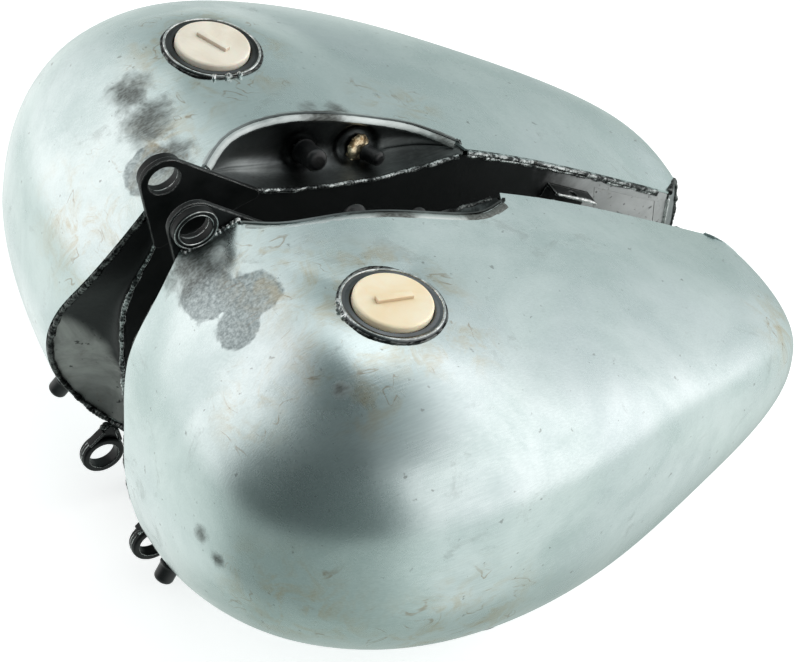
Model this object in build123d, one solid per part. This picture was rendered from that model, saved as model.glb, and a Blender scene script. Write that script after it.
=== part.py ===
from build123d import *
import math
import os
import numpy as np

# A pair of split motorcycle fuel tank halves in bare steel. Millimetres.
# +X is forward, +Y is the left half, +Z is up. The origin is on the ground
# plane, under the middle of the pair, and the halves rest on their bellies.

# ---------------------------------------------------------------- dimensions
WALL_Y = 23.2            # inner wall to mid-plane
SHEET = 1.6              # thickness of the pressed sheet
PANEL = 1.5              # thickness of the inner wall

# Seam between the pressed skin and the concave front panel, from the top down.
SEAM = [(171.6, 23.2, 253.0), (193.0, 28.8, 223.2), (214.4, 36.3, 193.4), (227.4, 53.9, 159.0),
        (233.9, 65.1, 128.3), (233.0, 72.5, 97.6), (226.5, 74.4, 71.6), (217.2, 64.2, 56.7),
        (206.0, 43.7, 52.1), (196.7, 23.2, 56.7)]
# Widest line of the skin from the nose to the tail.
WAIST = [(233.0, 70.7, 111.6), (219.0, 182.3, 139.5), (134.4, 249.2, 142.3), (9.8, 244.6, 142.3),
         (-115.8, 190.6, 114.4), (-218.1, 125.6, 75.3), (-233.0, 51.2, 58.6)]
WAIST_T = [0.0, 0.17, 0.35, 0.53, 0.71, 0.87, 1.0]
# Inner top edge and inner bottom edge, as (x, z).
TOP = [(171.6, 253.0), (127.9, 265.1), (62.8, 263.2), (-2.3, 233.4), (-67.4, 198.1),
       (-137.2, 153.5), (-208.8, 103.2)]
BOTTOM = [(196.7, 56.7), (172.0, 27.5), (138.0, 10.5), (98.0, 2.8), (53.5, 0.15), (12.0, 0.1), (-30.2, 0.15),
          (-72.0, 1.6), (-113.9, 6.0), (-160.0, 15.0), (-202.3, 28.8)]
FRONT = [(171.6, 253.0), (166.9, 229.7), (177.2, 204.6), (191.1, 179.5), (197.6, 146.0),
         (199.5, 111.6), (198.6, 79.0), (196.7, 56.7)]
CROWN_N = [2.3, 3.1, 3.6, 2.1]     # squareness of the upper half of a section
BELLY_N = [2.0, 2.1, 3.0, 2.1]     # squareness of the lower half of a section
SQUARE_T = [0.0, 0.35, 0.7, 1.0]


# ------------------------------------------------------------ surface of skin
def natural_spline(xs, ys, x):
    """Natural cubic spline through (xs, ys), evaluated at x."""
    xs, ys, x = (np.asarray(a, float) for a in (xs, ys, x))
    ys = ys.reshape(len(xs), -1)
    h = np.diff(xs)
    n = len(xs)
    a = np.eye(n)
    b = np.zeros((n, ys.shape[1]))
    for i in range(1, n - 1):
        a[i, i - 1:i + 2] = h[i - 1], 2 * (h[i - 1] + h[i]), h[i]
        b[i] = 6 * ((ys[i + 1] - ys[i]) / h[i] - (ys[i] - ys[i - 1]) / h[i - 1])
    m = np.linalg.solve(a, b)
    i = np.clip(np.searchsorted(xs, x) - 1, 0, n - 2)
    d, e = (x - xs[i])[:, None], (xs[i + 1] - x)[:, None]
    k = h[i][:, None]
    return (m[i] * e**3 + m[i + 1] * d**3) / (6 * k) + (ys[i] / k - m[i] * k / 6) * e \
        + (ys[i + 1] / k - m[i + 1] * k / 6) * d


def height(table, x):
    """Height of an edge table at x; the table runs rearward."""
    t = np.array(table[::-1])
    return natural_spline(t[:, 0], t[:, 1], x)[:, 0]


def seam_points(s):
    p = np.array(SEAM)
    c = np.r_[0, np.cumsum(np.linalg.norm(np.diff(p, axis=0), axis=1))]
    return natural_spline(c / c[-1], p, s)


def skin_grid(ts, ss):
    """Points of the left skin: ts from nose to tail, ss from top edge round to bottom edge."""
    ts, ss = np.asarray(ts, float), np.asarray(ss, float)

    def sections(t):
        e = natural_spline(WAIST_T, WAIST, t)
        f = (WAIST[0][0] - e[:, 0]) / (WAIST[0][0] - WAIST[-1][0])
        tx = TOP[0][0] + f * (TOP[-1][0] - TOP[0][0])
        bx = BOTTOM[0][0] + f * (BOTTOM[-1][0] - BOTTOM[0][0])
        top = np.c_[tx, np.full(len(t), WALL_Y), height(TOP, tx)]
        low = np.c_[bx, np.full(len(t), WALL_Y), height(BOTTOM, bx)]
        nt = natural_spline(SQUARE_T, CROWN_N, t)
        nb = natural_spline(SQUARE_T, BELLY_N, t)
        out = np.zeros((len(t), len(ss), 3))
        for j, s in enumerate(ss):
            n, edge = (nt, top) if s <= 0.5 else (nb, low)
            u = 2 * min(s, 1 - s)
            a = math.pi / 2 * u**(n / 2) / (u**(n / 2) + (1 - u)**(n / 2))
            mid = np.c_[edge[:, 0], edge[:, 1], e[:, 2]]
            out[:, j] = mid + (edge - mid) * abs(np.cos(a))**(2 / n) + (e - mid) * np.sin(a)**(2 / n)
        return out

    grid = sections(ts)
    w = np.clip(1 - ts / 0.34, 0, 1)
    w = w * w * (3 - 2 * w)
    return grid + w[:, None, None] * (seam_points(ss) - sections(np.zeros(1))[0])[None]


# ------------------------------------------------------------- small helpers
def unit(v):
    v = np.asarray(v, float)
    return v / np.linalg.norm(v)


def normals(grid):
    n = np.cross(np.gradient(grid, axis=0), np.gradient(grid, axis=1))
    return n / (np.linalg.norm(n, axis=2)[..., None] + 1e-12)


def surface(grid):
    return Face.make_surface_from_array_of_points([[Vector(*p) for p in row] for row in grid])


def sheet(near, far):
    """Closed solid between two point grids."""
    a, b = surface(near), surface(far)
    faces = [a, b]
    for edge in a.edges():
        middle = edge @ 0.5
        other = min(b.edges(), key=lambda e: (e @ 0.5 - middle).length)
        faces.append(Face.make_surface_from_curves(edge, other))
    return Part([Solid(Shell(faces))])


def frame_at(point, direction):
    """Location with +Z along direction."""
    return Plane(origin=tuple(float(v) for v in point), z_dir=tuple(float(v) for v in direction)).location


def turned(profile, where):
    """Solid of revolution from (radius, height) points, placed at a location."""
    face = make_face(Plane.XZ * Polyline([(r, z) for r, z in profile], close=True))
    return where * revolve(face, Axis.Z)


def rod(where, radius, low, high):
    return where * Pos(0, 0, (low + high) / 2) * Cylinder(radius, high - low)


DENSE = skin_grid(np.linspace(0, 1, 201), np.linspace(0, 1, 201))
DENSE_N = -normals(DENSE)


def on_skin(x, y, z):
    """Nearest point of the left skin and its outward normal."""
    i = np.unravel_index(np.argmin(((DENSE - (x, y, z))**2).sum(axis=2)), DENSE.shape[:2])
    return DENSE[i], DENSE_N[i]


def crown_height(x, y):
    """Height of the upper skin above the point (x, y)."""
    top = DENSE[:, :90].reshape(-1, 3)
    i = np.argsort((top[:, 0] - x)**2 + (top[:, 1] - y)**2)[:6]
    a = np.c_[np.ones(6), top[i, :2] - (x, y)]
    return float(np.linalg.lstsq(a, top[i, 2], rcond=None)[0][0])


# ------------------------------------------------------------- filler
NECK_AXIS = unit((-0.21, 0.0, 1.0))
NECK_AT = (81.4, 129.1, 265.0)     # centre of the neck's top plane
NECK_R = 32.5                      # rolled lip
MOUTH_R = 25.0                     # bore at the mouth
THROAT_R = 23.3                    # bore below the ledge
LEDGE = -4.6
NECK_DEEP = -24.0
PLUG_R = 24.4
PLUG_TOP = 2.7


def filler_neck():
    lip = [(THROAT_R, NECK_DEEP), (27.0, NECK_DEEP), (27.0, -8.2), (31.6, -8.2), (NECK_R, -7.2),
           (NECK_R, -1.9), (32.2, -0.9), (31.4, -0.2), (30.6, 0.0), (29.8, -0.2), (29.1, -0.8),
           (28.6, -1.5), (27.4, -1.9), (26.5, -1.5), (26.0, -1.2), (MOUTH_R, -1.2),
           (MOUTH_R, LEDGE), (THROAT_R, LEDGE)]
    return turned(lip, frame_at(NECK_AT, NECK_AXIS))


def filler_gasket():
    ring = [(22.95, LEDGE + 0.05), (24.6, LEDGE + 0.05), (24.6, -2.75), (22.95, -2.75)]
    return turned(ring, frame_at(NECK_AT, NECK_AXIS))


def filler_plug():
    """Plastic screw plug: flanged cup with thread crests and a raised grip bar."""
    body = [(0, PLUG_TOP), (PLUG_R - 1.2, PLUG_TOP), (PLUG_R - 0.35, PLUG_TOP - 0.35), (PLUG_R, PLUG_TOP - 1.2),
            (PLUG_R, -2.65), (22.5, -2.65), (22.5, -5.6)]
    for k in range(4):
        z = -6.4 - 2.4 * k
        body += [(22.5, z), (22.95, z - 0.5), (22.95, z - 0.9), (22.5, z - 1.4)]
    body += [(22.5, -17.0), (20.4, -17.0), (20.4, -2.0), (0, -2.0)]
    where = frame_at(NECK_AT, NECK_AXIS)
    plug = turned(body, where)
    bar = where * Rot(0, 0, PLUG_TURN) * Pos(0, 0, PLUG_TOP + 0.65) * Box(23.6, 4.6, 2.7)
    return plug + bar


PLUG_TURN = -12.0


# ------------------------------------------------------------- dash pocket
# Lower edge on the wall as (x, z) and the rim's offset from the mid-plane as (x, y).
POCKET_LOW = [(131, 258.0), (115, 245.5), (98, 235.0), (75, 226.0), (50, 219.0), (22, 212.5),
              (0, 209.5), (-22, 207.5), (-44, 206.5)]
POCKET_RIM = [(131, 27.5), (115, 40.0), (98, 46.0), (75, 48.5), (50, 49.2), (22, 49.2),
              (0, 48.4), (-22, 44.5), (-44, 31.0)]
POCKET_SHEET = 1.5
RIM_PROUD = 0.7


def pocket_grid(us, vs, y_low=WALL_Y):
    """Visible face of the pocket: us from front to rear, vs from the wall up to the rim."""
    low = np.array(POCKET_LOW[::-1], float)
    rim = np.array(POCKET_RIM[::-1], float)
    xs = low[-1, 0] + np.asarray(us) * (low[0, 0] - low[-1, 0])
    zl = natural_spline(low[:, 0], low[:, 1], xs)[:, 0]
    yr = natural_spline(rim[:, 0], rim[:, 1], xs)[:, 0]
    grid = np.zeros((len(xs), len(vs), 3))
    for i, x in enumerate(xs):
        zr = crown_height(x, yr[i]) + RIM_PROUD
        h = zr - zl[i]
        w = yr[i] - y_low
        p = np.array([(y_low, zl[i]), (y_low + 0.95 * w, zl[i] - 0.04 * h),
                      (y_low + 1.06 * w, zl[i] + 0.2 * h), (yr[i], zr)])
        for j, v in enumerate(vs):
            q = p[0] * (1 - v)**3 + 3 * p[1] * v * (1 - v)**2 + 3 * p[2] * v * v * (1 - v) + p[3] * v**3
            grid[i, j] = x, q[0], q[1]
    return grid


def pocket_back(grid, amount):
    n = normals(grid)
    if n[len(grid) // 2, len(grid[0]) // 2, 1] < 0:
        n = -n
    return grid + amount * n


def dash_pocket():
    g = pocket_grid(np.linspace(0, 1, 19), np.linspace(0, 1, 13))
    return sheet(g, pocket_back(g, POCKET_SHEET))


def pocket_cutter():
    """Upright prism that opens the crown over the pocket, just outside its rim."""
    rim = [(x, y + POCKET_SHEET + 0.55) for x, y in POCKET_RIM]
    rim = [(133.2, rim[0][1] - 1.5)] + rim[1:-1] + [(-46.2, rim[-1][1] - 1.5)]
    outline = Spline(*[(x, y, 0) for x, y in rim])
    back = Polyline((-46.2, rim[-1][1], 0), (-46.2, 10, 0), (133.2, 10, 0), (133.2, rim[0][1], 0))
    return Pos(0, 0, 195) * extrude(make_face([outline, back]), amount=110, dir=(0, 0, 1))


def pocket_point(u, v):
    g = pocket_grid([u - 0.01, u, u + 0.01], [v - 0.01, v, v + 0.01])
    n = normals(g)[1, 1]
    return g[1, 1], (n if n[1] < 0 else -n)


# ------------------------------------------------------------- pressings
def plain_skin():
    g = skin_grid(np.linspace(0, 1, 37), np.linspace(0, 1, 41))
    return sheet(g, g + SHEET * normals(g))


SKIN = plain_skin()


def largest(shape):
    """The biggest solid, so that a trim leaves no loose chips."""
    return Part([max(shape.solids(), key=lambda s: s.volume)])


def outer_shell():
    skin = SKIN
    where = frame_at(NECK_AT, NECK_AXIS)
    skin = skin - rod(where, NECK_R + 0.15, -30, 30) - pocket_cutter()
    for spot, _, radius in SKIN_FITTINGS:
        p, n = on_skin(*spot)
        skin = skin - rod(frame_at(p, n), radius + 0.15, -12, 12)
    for corner in (DENSE[0, 0], DENSE[0, -1], DENSE[-1, 0], DENSE[-1, -1]):
        skin = skin - Pos(*(float(v) for v in corner)) * Box(2.4, 2.4, 2.4)
    return largest(skin)


def inset_loop(points, amount):
    """Closed (x, z) loop moved inwards along its corner normals."""
    p = np.array(points, float)
    area = np.sum(p[:, 0] * np.roll(p[:, 1], -1) - np.roll(p[:, 0], -1) * p[:, 1])
    d1 = p - np.roll(p, 1, axis=0)
    d2 = np.roll(p, -1, axis=0) - p
    n1 = np.c_[-d1[:, 1], d1[:, 0]] / np.linalg.norm(d1, axis=1)[:, None]
    n2 = np.c_[-d2[:, 1], d2[:, 0]] / np.linalg.norm(d2, axis=1)[:, None]
    m = n1 + n2
    m = m / (1 + np.sum(n1 * n2, axis=1))[:, None]
    return p + amount * math.copysign(1.0, area) * m


def wall_loop():
    xt = np.linspace(TOP[0][0], TOP[-1][0], 40)
    xb = np.linspace(BOTTOM[-1][0], BOTTOM[0][0], 34)
    f = np.array(FRONT[::-1], float)
    c = np.r_[0, np.cumsum(np.hypot(*np.diff(f, axis=0).T))]
    fr = natural_spline(c, f, np.linspace(0, c[-1], 22))[1:-1]
    return np.vstack([np.c_[xt, height(TOP, xt)], np.c_[xb, height(BOTTOM, xb)], fr])


def flat_plate(loop, y_low, y_high):
    """Plate parallel to the mid-plane from an (x, z) loop."""
    face = make_face(Polyline([(float(x), float(z), 0) for x, z in loop], close=True))
    solid = extrude(face, amount=y_high - y_low, dir=(0, 0, 1))
    return Pos(0, y_high, 0) * Rot(90, 0, 0) * solid


RECESS = [(-147, 134), (-197, 100), (-197, 60), (-147, 60)]
RECESS_DEEP = 10.0


def below_pocket(gap):
    """The pocket's lower line, moved square to itself by gap towards the panel."""
    out = []
    for i, (x, z) in enumerate(POCKET_LOW):
        (x0, z0), (x1, z1) = POCKET_LOW[max(i - 1, 0)], POCKET_LOW[min(i + 1, len(POCKET_LOW) - 1)]
        run, rise = x0 - x1, z0 - z1
        size = (run * run + rise * rise) ** 0.5
        out.append((x + gap * rise / size, z - gap * run / size))
    return out


def inner_panel():
    wall = flat_plate(inset_loop(wall_loop(), SHEET + 0.25), WALL_Y, WALL_Y + PANEL)
    window = flat_plate(inset_loop(RECESS, 0.0), WALL_Y - 1, WALL_Y + PANEL + 1)
    pan = flat_plate(inset_loop(RECESS, -PANEL), WALL_Y, WALL_Y + RECESS_DEEP + PANEL)
    pan = pan - flat_plate(RECESS, WALL_Y - 1, WALL_Y + RECESS_DEEP)
    drop = below_pocket(POCKET_SHEET + 0.75)
    above = flat_plate(drop + [(-52, drop[-1][1]), (-52, 320), (140, 320), (140, drop[0][1])],
                       WALL_Y - 1, WALL_Y + PANEL + 1)
    return largest(wall - above - window + pan)


def front_panel():
    """Concave crescent between the wall's front edge and the skin seam."""
    us, vs = np.linspace(0.07, 0.94, 25), np.linspace(0, 1, 11)
    f = np.array(FRONT, float)
    c = np.r_[0, np.cumsum(np.hypot(*np.diff(f, axis=0).T))]
    inner = natural_spline(c / c[-1], np.c_[f[:, 0], np.full(len(f), WALL_Y), f[:, 1]], us)
    outer = seam_points(us)
    g = np.zeros((len(us), len(vs), 3))
    for i, u in enumerate(us):
        width = np.linalg.norm(outer[i] - inner[i])
        gap = min(2.6 / width, 0.3)
        for j, v in enumerate(vs):
            k = gap + v * (1 - 2 * gap)
            g[i, j] = inner[i] * (1 - k) + outer[i] * k - np.array((0.26 * width * math.sin(math.pi * k), 0, 0))
    n = normals(g)
    if n[12, 5, 0] > 0:
        n = -n
    return largest(sheet(g, g + PANEL * n) - SKIN)


def tail_plate():
    """End plate that closes the skin behind the wall."""
    ss, vs = np.linspace(0.14, 0.86, 17), np.linspace(0, 1, 7)
    edge = skin_grid([1.0], ss)[0]
    top, low = np.array((TOP[-1][0], WALL_Y, TOP[-1][1])), np.array((BOTTOM[-1][0], WALL_Y, BOTTOM[-1][1]))
    g = np.zeros((len(ss), len(vs), 3))
    for i in range(len(ss)):
        k = (edge[i, 2] - low[2]) / (top[2] - low[2])
        wall = low + (top - low) * k
        width = np.linalg.norm(edge[i] - wall)
        a, b = min(1.0 / width, 0.2), 1 - min(2.2 / width, 0.3)
        for j, v in enumerate(vs):
            g[i, j] = wall + (edge[i] - wall) * (a + v * (b - a))
    n = normals(g)
    if n[8, 3, 0] < 0:
        n = -n
    return largest(sheet(g, g + PANEL * n) - SKIN)


# ------------------------------------------------------------- mounting ears
EAR = 4.0
UPPER_EYE = (161.6, 271.7)
UPPER_BORE_R = 10.5
UPPER_BUSH_R = 14.6
UPPER_BUSH = 6.0
LOWER_EYE = (213.6, 27.8)
LOWER_BORE_R = 10.0
LOWER_RING_R = 14.6
LOWER_RING = 9.0
LOWER_Y = 42.5


def hull_loop(circles, extra=()):
    """Convex (x, z) outline round circles (x, z, r) and extra points."""
    pts = [(x + r * math.cos(a), z + r * math.sin(a)) for x, z, r in circles
           for a in np.linspace(0, 2 * math.pi, 36, endpoint=False)] + list(extra)
    pts = sorted(set((round(x, 4), round(z, 4)) for x, z in pts))

    def half(seq):
        out = []
        for p in seq:
            while len(out) > 1 and ((out[-1][0] - out[-2][0]) * (p[1] - out[-2][1])
                                    - (out[-1][1] - out[-2][1]) * (p[0] - out[-2][0])) <= 0:
                out.pop()
            out.append(p)
        return out[:-1]

    return half(pts) + half(pts[::-1])


def upper_ear():
    """Plate ear lapped on the wall's face, with a bored eye."""
    x, z = UPPER_EYE
    plate = flat_plate(hull_loop([(x, z, 15.8), (168, 222, 4.0), (104, 236, 4.0)]), WALL_Y - EAR - 0.2, WALL_Y - 0.2)
    eye = Plane(origin=(x, WALL_Y, z), z_dir=(0, 1, 0)).location
    return plate - rod(eye, UPPER_BORE_R, -20, 20)


def upper_bush():
    """Raised ring on the outer face of the ear."""
    x, z = UPPER_EYE
    eye = Plane(origin=(x, WALL_Y - 0.03, z), z_dir=(0, 1, 0)).location
    ring = [(UPPER_BORE_R, 0), (UPPER_BUSH_R, 0), (UPPER_BUSH_R, UPPER_BUSH - 1.4), (UPPER_BUSH_R - 1.4, UPPER_BUSH),
            (UPPER_BORE_R + 0.9, UPPER_BUSH), (UPPER_BORE_R, UPPER_BUSH - 0.9)]
    return turned(ring, eye)


def lower_ear():
    """Arm from the nose corner to the lower eye, with turned edges."""
    x, z = LOWER_EYE
    y = LOWER_Y
    plate = flat_plate(hull_loop([(x, z, 11.5), (206.5, 45.6, 4.5)]), y - 1.75, y + 1.75)
    eye = Plane(origin=(x, y, z), z_dir=(0, 1, 0)).location
    arm = plate - rod(eye, LOWER_RING_R + 0.02, -20, 20)
    edge = flat_plate(hull_loop([(200.8, 38.0, 1.1), (202.2, 47.0, 1.1)]), y - 4.5, y + 1.75)
    lip = flat_plate(hull_loop([(221.6, 41.2, 1.1), (212.0, 48.6, 1.1)]), y - 4.5, y + 1.75)
    arm = arm + edge + lip - rod(eye, LOWER_RING_R + 0.02, -20, 20)
    return arm


def lower_ring():
    x, z = LOWER_EYE
    h = LOWER_RING / 2
    eye = Plane(origin=(x, LOWER_Y, z), z_dir=(0, 1, 0)).location
    r, s = LOWER_BORE_R, LOWER_RING_R
    ring = [(r, 0.8 - h), (r + 0.8, -h), (s - 1.6, -h), (s, 1.6 - h), (s, h - 1.6), (s - 1.6, h),
            (r + 0.8, h), (r, h - 0.8)]
    return turned(ring, eye)


BRACKET_AT = (-122.0, 137.5)
BRACKET_TILT = 35.0
BRACKET_LONG = 46.0
BRACKET_BORE_R = 3.25


def console_bracket():
    """Folded angle on the wall, near the tail."""
    base = Box(BRACKET_LONG, 2.0, 14.0)
    shelf = Pos(0, -6.5, 6.0) * Box(BRACKET_LONG, 11.0, 2.0)
    hole = Pos(0, -7.0, 6.0) * Cylinder(BRACKET_BORE_R, 6.0)
    angle = base + shelf - hole
    x, z = BRACKET_AT
    return Pos(x, WALL_Y - 1.05, z) * Rot(0, -BRACKET_TILT, 0) * angle


# ------------------------------------------------------------- pipes and caps
NIPPLE_R = 4.0
TUBE_R = 2.6
CAP_GAP = 0.06

# Fittings through the skin: a point near the place, the name, the hole's radius.
SKIN_FITTINGS = [((218.0, 88.0, 57.0), "crossover", 6.0), ((57.0, 208.0, 30.0), "petcock", 12.5)]
VENT_UV = (0.415, 0.60)
GAUGE_UV = (0.632, 0.55)
VENT_AXIS = unit((-0.05, -0.95, 0.30))
GAUGE_AXIS = unit((-0.36, -0.93, 0.08))


def rubber_cap(where, bore, outer, start, end, depth):
    """Closed rubber cap with a rounded nose and a thick collar."""
    nose = [(0, end), (outer * 0.45, end), (outer * 0.78, end - outer * 0.16), (outer * 0.95, end - outer * 0.45),
            (outer, end - outer * 0.8), (outer, start + 3.0), (outer + 0.8, start + 2.4), (outer + 0.8, start),
            (bore + CAP_GAP, start), (bore + CAP_GAP, depth), (0, depth)]
    return turned(nose, where)


def nipple(where, radius, bore, low, high):
    """Pipe stub with a hose bead near its end."""
    body = [(bore, low), (radius + 2.0, low), (radius + 2.0, low + 2.0), (radius, low + 3.2),
            (radius, high - 0.8), (radius - 0.8, high), (bore, high)]
    return turned(body, where)


def vent_frame():
    p, _ = pocket_point(*VENT_UV)
    return frame_at(p, VENT_AXIS)


def gauge_frame():
    p, _ = pocket_point(*GAUGE_UV)
    return frame_at(p, GAUGE_AXIS)


def skin_frame(k):
    return frame_at(*on_skin(*SKIN_FITTINGS[k][0]))


def vent_nipple():
    return nipple(vent_frame(), NIPPLE_R, 2.4, 1.2, 15.0)


def vent_cap():
    return rubber_cap(vent_frame(), NIPPLE_R, 7.6, 5.0, 25.5, 15.4)


def gauge_boss():
    """Round brazed boss that holds the thin tube."""
    ring = [(TUBE_R + 0.02, 1.4), (8.6, 1.4), (9.0, 2.6), (7.6, 4.6), (5.2, 5.8), (TUBE_R + 0.02, 6.2)]
    return largest(turned(ring, gauge_frame()) - dash_pocket())


def gauge_tube():
    tube = [(1.5, 1.4), (TUBE_R, 1.4), (TUBE_R, 16.6), (TUBE_R - 0.6, 17.2), (1.5, 17.2)]
    return turned(tube, gauge_frame())


def gauge_cap():
    return rubber_cap(gauge_frame(), TUBE_R, 5.0, 8.2, 22.5, 17.6)


def crossover_nipple():
    body = [(2.6, -9.0), (6.0, -9.0), (6.0, 1.2), (NIPPLE_R, 2.4), (NIPPLE_R, 12.2), (NIPPLE_R - 0.8, 13.0), (2.6, 13.0)]
    return turned(body, skin_frame(0))


def crossover_cap():
    return rubber_cap(skin_frame(0), NIPPLE_R, 6.6, 3.0, 17.0, 13.4)


def petcock_bung():
    body = [(8.5, -9.0), (12.5, -9.0), (12.5, 1.6), (11.7, 2.4), (8.5, 2.4)]
    return turned(body, skin_frame(1))


def petcock_plug():
    """Soft push-in plug for the tap hole."""
    body = [(0, 6.0), (8.0, 6.0), (11.2, 4.8), (11.9, 2.5), (8.42, 2.5), (8.42, -5.0), (7.4, -6.5), (0, -6.5)]
    return turned(body, skin_frame(1))


# ------------------------------------------------------------- hidden pieces
BAFFLES = {"front_baffle": 122.0, "rear_baffle": -92.0}


def section_loop(x):
    """Outline (y, z) of the skin where it crosses the plane at x."""
    loop = []
    for j in range(0, DENSE.shape[1], 8):
        column = DENSE[:, j]
        k = np.where((column[:-1, 0] - x) * (column[1:, 0] - x) <= 0)[0]
        if len(k) and (not loop or np.hypot(column[k[-1], 1] - loop[-1][0], column[k[-1], 2] - loop[-1][1]) > 4):
            loop.append((column[k[-1], 1], column[k[-1], 2]))
    return loop


def baffle(x):
    """Slosh plate with flow holes, clear of the skin and of the dash pocket."""
    loop = inset_loop(section_loop(x), 6.0)
    loop = [(max(a, WALL_Y + PANEL + 3.0), b) for a, b in loop]
    face = make_face(Polyline([(float(a), float(b), 0) for a, b in loop], close=True))
    where = Plane(origin=(x, 0, 0), x_dir=(0, 1, 0), z_dir=(1, 0, 0)).location
    plate = where * extrude(face, amount=1.2, dir=(0, 0, 1))
    zs = [b for _, b in loop]
    mid = (max(zs) + min(zs)) / 2
    for y, z in ((70, mid - 25), (70, mid + 20), (130, mid), (150, mid - 45)):
        plate = plate - Pos(x, y, z) * Rot(0, 90, 0) * Cylinder(13, 10)
    return plate - Pos(x, 30, max(zs) - 10) * Box(20, 84, 110)


def stand_pipe():
    """Overflow pipe that stands inside, under the neck."""
    return Pos(60, 90, 120) * (Cylinder(4.0, 190) - Cylinder(2.8, 200))


# ------------------------------------------------------------- build
PIECES = {
    "outer_shell": outer_shell, "inner_panel": inner_panel, "front_panel": front_panel,
    "tail_plate": tail_plate, "dash_pocket": dash_pocket, "filler_neck": filler_neck,
    "filler_gasket": filler_gasket, "filler_plug": filler_plug, "upper_ear": upper_ear,
    "upper_bush": upper_bush, "lower_ear": lower_ear, "lower_ring": lower_ring,
    "console_bracket": console_bracket, "vent_nipple": vent_nipple, "vent_cap": vent_cap,
    "gauge_boss": gauge_boss, "gauge_tube": gauge_tube, "gauge_cap": gauge_cap,
    "crossover_nipple": crossover_nipple, "crossover_cap": crossover_cap,
    "petcock_bung": petcock_bung, "petcock_plug": petcock_plug,
    "front_baffle": lambda: baffle(BAFFLES["front_baffle"]),
    "rear_baffle": lambda: baffle(BAFFLES["rear_baffle"]), "stand_pipe": stand_pipe,
}


def main():
    os.makedirs("parts", exist_ok=True)
    for name, make in PIECES.items():
        left = make()
        export_step(left, f"parts/left_{name}.step")
        export_step(mirror(left, about=Plane.XZ), f"parts/right_{name}.step")


main()
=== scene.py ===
import bpy, math
import numpy as np
from mathutils import Matrix, Vector


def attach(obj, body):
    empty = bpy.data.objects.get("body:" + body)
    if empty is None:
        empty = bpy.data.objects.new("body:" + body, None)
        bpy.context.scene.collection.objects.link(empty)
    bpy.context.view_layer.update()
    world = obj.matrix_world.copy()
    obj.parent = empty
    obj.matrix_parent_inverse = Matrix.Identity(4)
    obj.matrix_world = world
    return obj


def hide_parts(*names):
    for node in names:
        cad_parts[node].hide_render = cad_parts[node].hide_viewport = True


# Looks for a pair of split bare-steel tank halves. Lengths below are in
# millimetres in the frame's own axes, and become metres when a mesh is made.
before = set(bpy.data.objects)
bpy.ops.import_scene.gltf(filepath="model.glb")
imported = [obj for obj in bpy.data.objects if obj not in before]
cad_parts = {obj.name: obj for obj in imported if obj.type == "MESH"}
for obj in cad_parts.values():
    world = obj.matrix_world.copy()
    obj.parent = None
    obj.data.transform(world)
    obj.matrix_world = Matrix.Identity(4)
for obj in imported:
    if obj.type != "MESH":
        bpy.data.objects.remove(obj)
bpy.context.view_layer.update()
scene = bpy.context.scene
MM = 0.001

# ---------------------------------------------------------------- camera
PHI, THETA = math.radians(26.716), math.radians(46.016)
cam_data = bpy.data.cameras.new("camera")
cam = bpy.data.objects.new("camera", cam_data)
scene.collection.objects.link(cam)
cam.matrix_world = Matrix((
    (-math.cos(PHI), -math.sin(PHI) * math.sin(THETA), math.sin(PHI) * math.cos(THETA), 0.5770),
    (math.sin(PHI), -math.cos(PHI) * math.sin(THETA), math.cos(PHI) * math.cos(THETA), 1.1229),
    (0, math.cos(THETA), math.sin(THETA), 1.3916), (0, 0, 0, 1)))
cam_data.sensor_fit = "HORIZONTAL"
cam_data.sensor_width = 36.0
cam_data.lens = 122.4
cam_data.clip_end = 20
scene.camera = cam

# ---------------------------------------------------------------- the form of a half
WALL_Y = 23.2
SEAM = [(171.6, 23.2, 253.0), (193.0, 28.8, 223.2), (214.4, 36.3, 193.4), (227.4, 53.9, 159.0),
        (233.9, 65.1, 128.3), (233.0, 72.5, 97.6), (226.5, 74.4, 71.6), (217.2, 64.2, 56.7),
        (206.0, 43.7, 52.1), (196.7, 23.2, 56.7)]
WAIST = [(233.0, 70.7, 111.6), (219.0, 182.3, 139.5), (134.4, 249.2, 142.3), (9.8, 244.6, 142.3),
         (-115.8, 190.6, 114.4), (-218.1, 125.6, 75.3), (-233.0, 51.2, 58.6)]
WAIST_T = [0.0, 0.17, 0.35, 0.53, 0.71, 0.87, 1.0]
TOP = [(171.6, 253.0), (127.9, 265.1), (62.8, 263.2), (-2.3, 233.4), (-67.4, 198.1),
       (-137.2, 153.5), (-208.8, 103.2)]
BOTTOM = [(196.7, 56.7), (172.0, 27.5), (138.0, 10.5), (98.0, 2.8), (53.5, 0.15), (12.0, 0.1),
          (-30.2, 0.15), (-72.0, 1.6), (-113.9, 6.0), (-160.0, 15.0), (-202.3, 28.8)]
FRONT = [(171.6, 253.0), (166.9, 229.7), (177.2, 204.6), (191.1, 179.5), (197.6, 146.0),
         (199.5, 111.6), (198.6, 79.0), (196.7, 56.7)]
SQUARE_T, CROWN_N, BELLY_N = [0.0, 0.35, 0.7, 1.0], [2.3, 3.1, 3.6, 2.1], [2.0, 2.1, 3.0, 2.1]
POCKET_LOW = [(131, 258.0), (115, 245.5), (98, 235.0), (75, 226.0), (50, 219.0), (22, 212.5),
              (0, 209.5), (-22, 207.5), (-44, 206.5)]
POCKET_RIM = [(131, 27.5), (115, 40.0), (98, 46.0), (75, 48.5), (50, 49.2), (22, 49.2),
              (0, 48.4), (-22, 44.5), (-44, 31.0)]


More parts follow.
